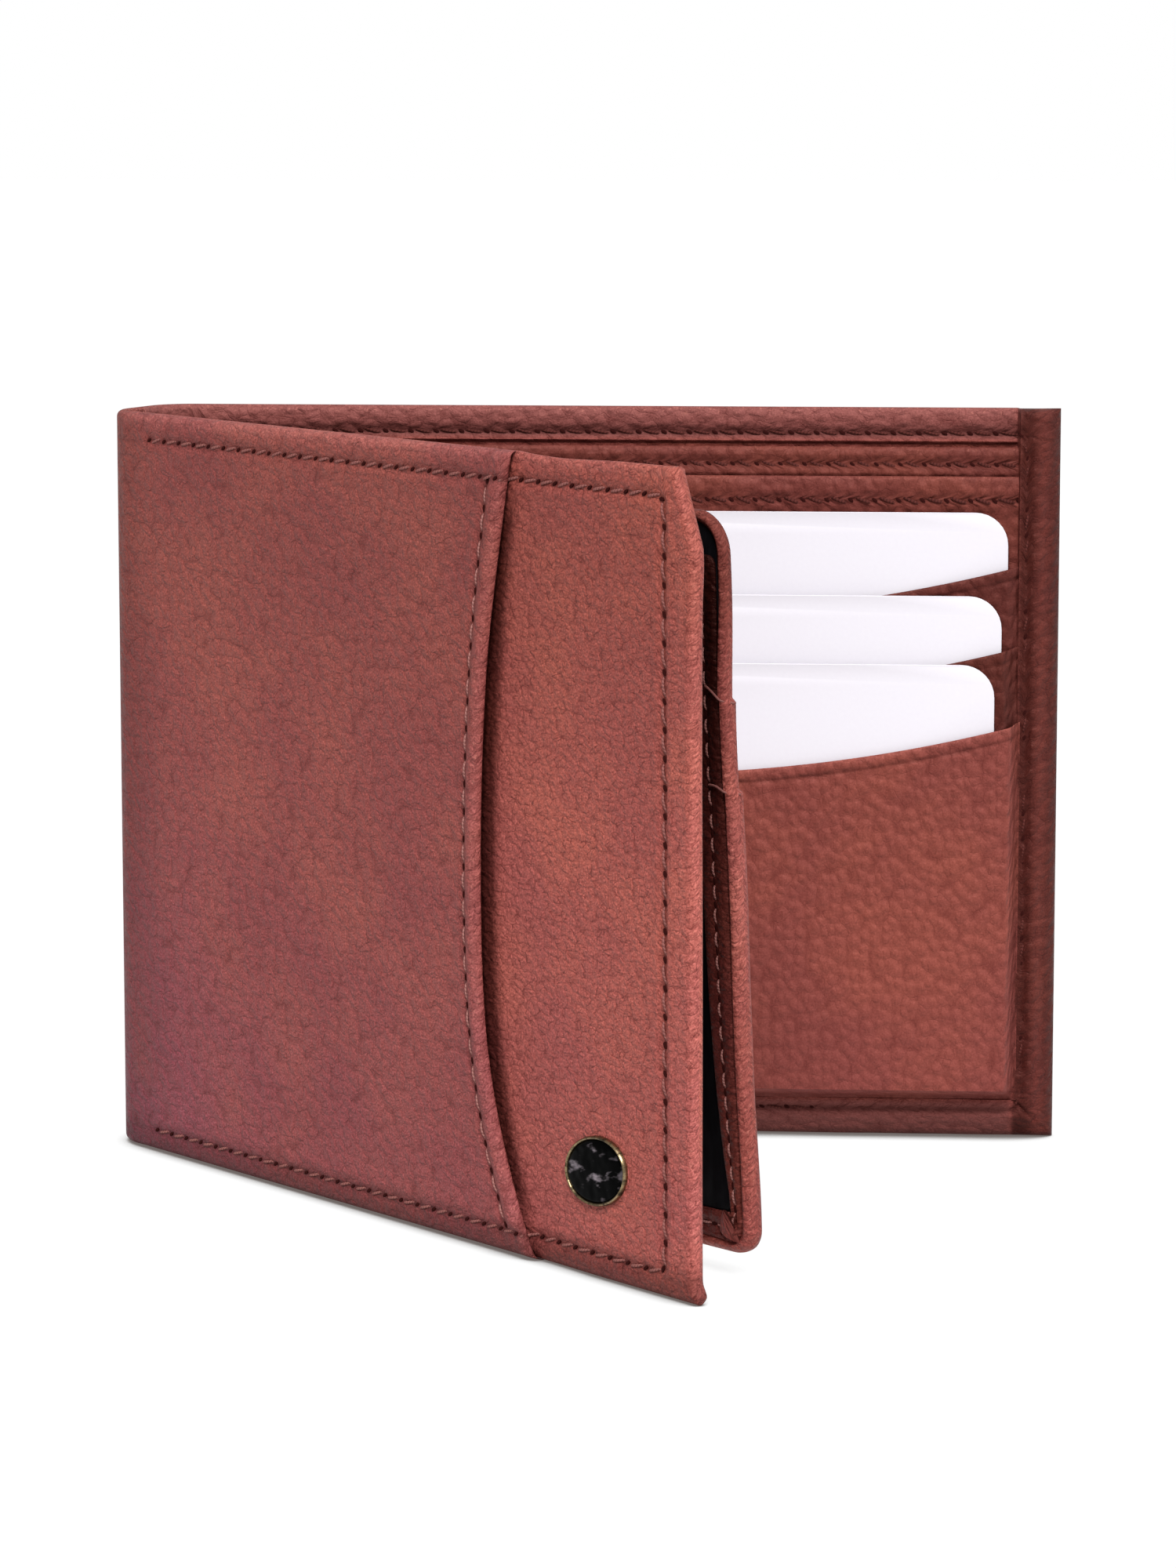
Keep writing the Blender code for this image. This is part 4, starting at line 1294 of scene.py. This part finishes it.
def thread_tail(number, drop):
    """The thread end that crosses the flap's edge where a slot's seam is tied off."""
    t = np.linspace(0, 1, 15)
    u = FLAP_END - 3.4 + 3.2 * t + 0.25 * (number + 1) * t
    z = FLAP_SLOT_TOPS[number] + drop * (1 - t) ** 2 + 0.25 * np.sin(5 * t)
    n = 1.18 + 0.12 * np.sin(math.pi * t) - 1.3 * smooth(t, 0.66, 1.0)
    curve = bpy.data.curves.new(f"flap_thread_tail_{number + 1}", "CURVE")
    curve.dimensions = "3D"
    curve.bevel_depth = 0.13 * MM
    curve.bevel_resolution = 2
    curve.use_fill_caps = True
    spline = curve.splines.new("POLY")
    spline.points.add(len(t) - 1)
    for point, spot in zip(spline.points, FLAP(u, n, z)):
        point.co = (*spot, 1.0)
    tube = added(curve.name, curve)
    bpy.context.view_layer.update()
    mesh = bpy.data.meshes.new_from_object(tube.evaluated_get(bpy.context.evaluated_depsgraph_get()))
    bpy.data.objects.remove(tube)
    if not mesh.uv_layers:
        mesh.uv_layers.new(name="flat")
    mesh.materials.clear()
    mesh.materials.append(THREAD_LIGHT)
    flap_piece(added(curve.name, mesh), "thread_light")


# Stud


def stud():
    surface = float(base_face(*EMBLEM_AT))
    proud = surface - 0.55
    rim = [(0.0, surface + 0.1), (0.0, surface - 0.18), (0.08, proud + 0.1), (0.2, proud),
           (0.32, proud + 0.06), (0.4, proud + 0.25), (0.4, surface + 0.1)]
    dome = [(0.42, surface + 0.05), (0.42, proud + 0.3), (0.6, proud + 0.14)]
    dome += [(0.8 + k * 0.5, proud + 0.08 - 0.2 * math.sin(k / 6 * math.pi / 2)) for k in range(7)]
    post = [(4.6, surface - 0.2), (4.6, surface + 0.8), (4.3, surface + 0.95)]
    parts = (
        ("rim", EMBLEM_HALF, rim, BRASS, True, "brass"),
        ("face", EMBLEM_HALF, dome, ENAMEL, False, "black_enamel"),
        ("post", (5.5, 5.5), post, BRASS, False, "brass"),
    )
    for part, half, section, finish, closed, slot in parts:
        fit(turned_oval(f"stud_{part}", half, section, finish, closed), slot, "cover", f"emblem_{part}")


# Studio


def aim(obj, place, target):
    obj.location = place
    obj.rotation_mode = "QUATERNION"
    obj.rotation_quaternion = (Vector(target) - Vector(place)).to_track_quat("-Z", "Y")


def camera():
    data = bpy.data.cameras.new("camera")
    data.lens, data.sensor_width = 121.1, 36.0
    data.clip_start, data.clip_end = 0.01, 10.0
    spot = Vector((*BACK.origin, 0.0)) + Vector((95.55, -640.17, 135.57)) * MM
    yaw, pitch = math.radians(-3.92), math.radians(8.214)
    ahead = Vector((math.sin(yaw) * math.cos(pitch), math.cos(yaw) * math.cos(pitch), -math.sin(pitch)))
    obj = added("camera", data)
    aim(obj, spot, spot + ahead)
    bpy.context.scene.camera = obj


def light(name, azimuth, elevation, spread, strength):
    """A distant soft light. Azimuth 0 comes from the front, and 90 from the right."""
    data = bpy.data.lights.new(name, "SUN")
    data.angle, data.energy = math.radians(spread), strength
    a, e = math.radians(azimuth), math.radians(elevation)
    aim(added(name, data), (math.sin(a) * math.cos(e), -math.cos(a) * math.cos(e), math.sin(e)), (0, 0, 0))


def floor():
    f = Finish("floor_white")
    # The grey that the floor turns near the wallet is a painted contact shadow.
    openness = f.node("AmbientOcclusion", {"Distance": 0.005}, samples=12).outputs["AO"]
    glow = f.mix(f.between(openness, 0.25, 0.75), linear(112, 104, 101), WHITE)
    f.set(Base_Color=(0.02, 0.02, 0.02, 1.0), Roughness=0.95, Emission_Color=glow, Emission_Strength=1.0,
          Specular_IOR_Level=0.0)
    mesh = bpy.data.meshes.new("floor")
    half = 4.0
    corners = [(-half, -half, 0.0), (half, -half, 0.0), (half, half, 0.0), (-half, half, 0.0)]
    mesh.from_pydata(corners, [], [(0, 1, 2, 3)])
    mesh.materials.append(f.material)
    obj = added("floor", mesh)
    obj.location.z = -0.00005


def studio():
    world = bpy.data.worlds.new("studio")
    world.use_nodes = True
    tree = world.node_tree
    backdrop = tree.nodes["Background"]
    backdrop.inputs[0].default_value = WHITE
    seen = tree.nodes.new("ShaderNodeLightPath").outputs["Is Camera Ray"]
    strength = tree.nodes.new("ShaderNodeMapRange")
    strength.inputs["To Min"].default_value = FILL
    tree.links.new(seen, strength.inputs["Value"])
    tree.links.new(strength.outputs[0], backdrop.inputs[1])
    bpy.context.scene.world = world
    bpy.context.scene.view_settings.view_transform = "Standard"
    light("key", -2.0, 50.0, 24.0, 4.2)
    light("side", 72.0, 24.0, 30.0, 1.1)
    floor()


camera()
back_outer()
back_seams()
lining("bill_lining", BACK_FOLD, 1.05, "back", ("back_lining", "spine_lining"))
lining("cover_lining", COVER_FOLD, 1.75, "cover", ())
pocket_panel()
cover_base()
cover_seams()
panel("cover_inside_leather", COVER, COVER_INSIDE, 2, "cover", "cover_inner_panel", DIVIDER_SEAM)
panel("bill_divider_leather", BACK, DIVIDER, 4, "back", "bill_divider", DIVIDER_SEAM, dark=0.75)
panel("slot_backing_leather", BACK, BACKING, 6, "back", "slot_backing", BACKING_SEAM, face=0.4, dark=0.6)
for index in range(len(SLOT_TOPS)):
    card_slot(index)
    card(index)
inside_seams()
gusset()
flap_core()
flap_frame()
corner_fold()
window()
for index, tail_drop in enumerate((1.4, 0.5)):
    flap_slot(index)
    thread_tail(index, tail_drop)
stud()
studio()

bpy.context.view_layer.update()
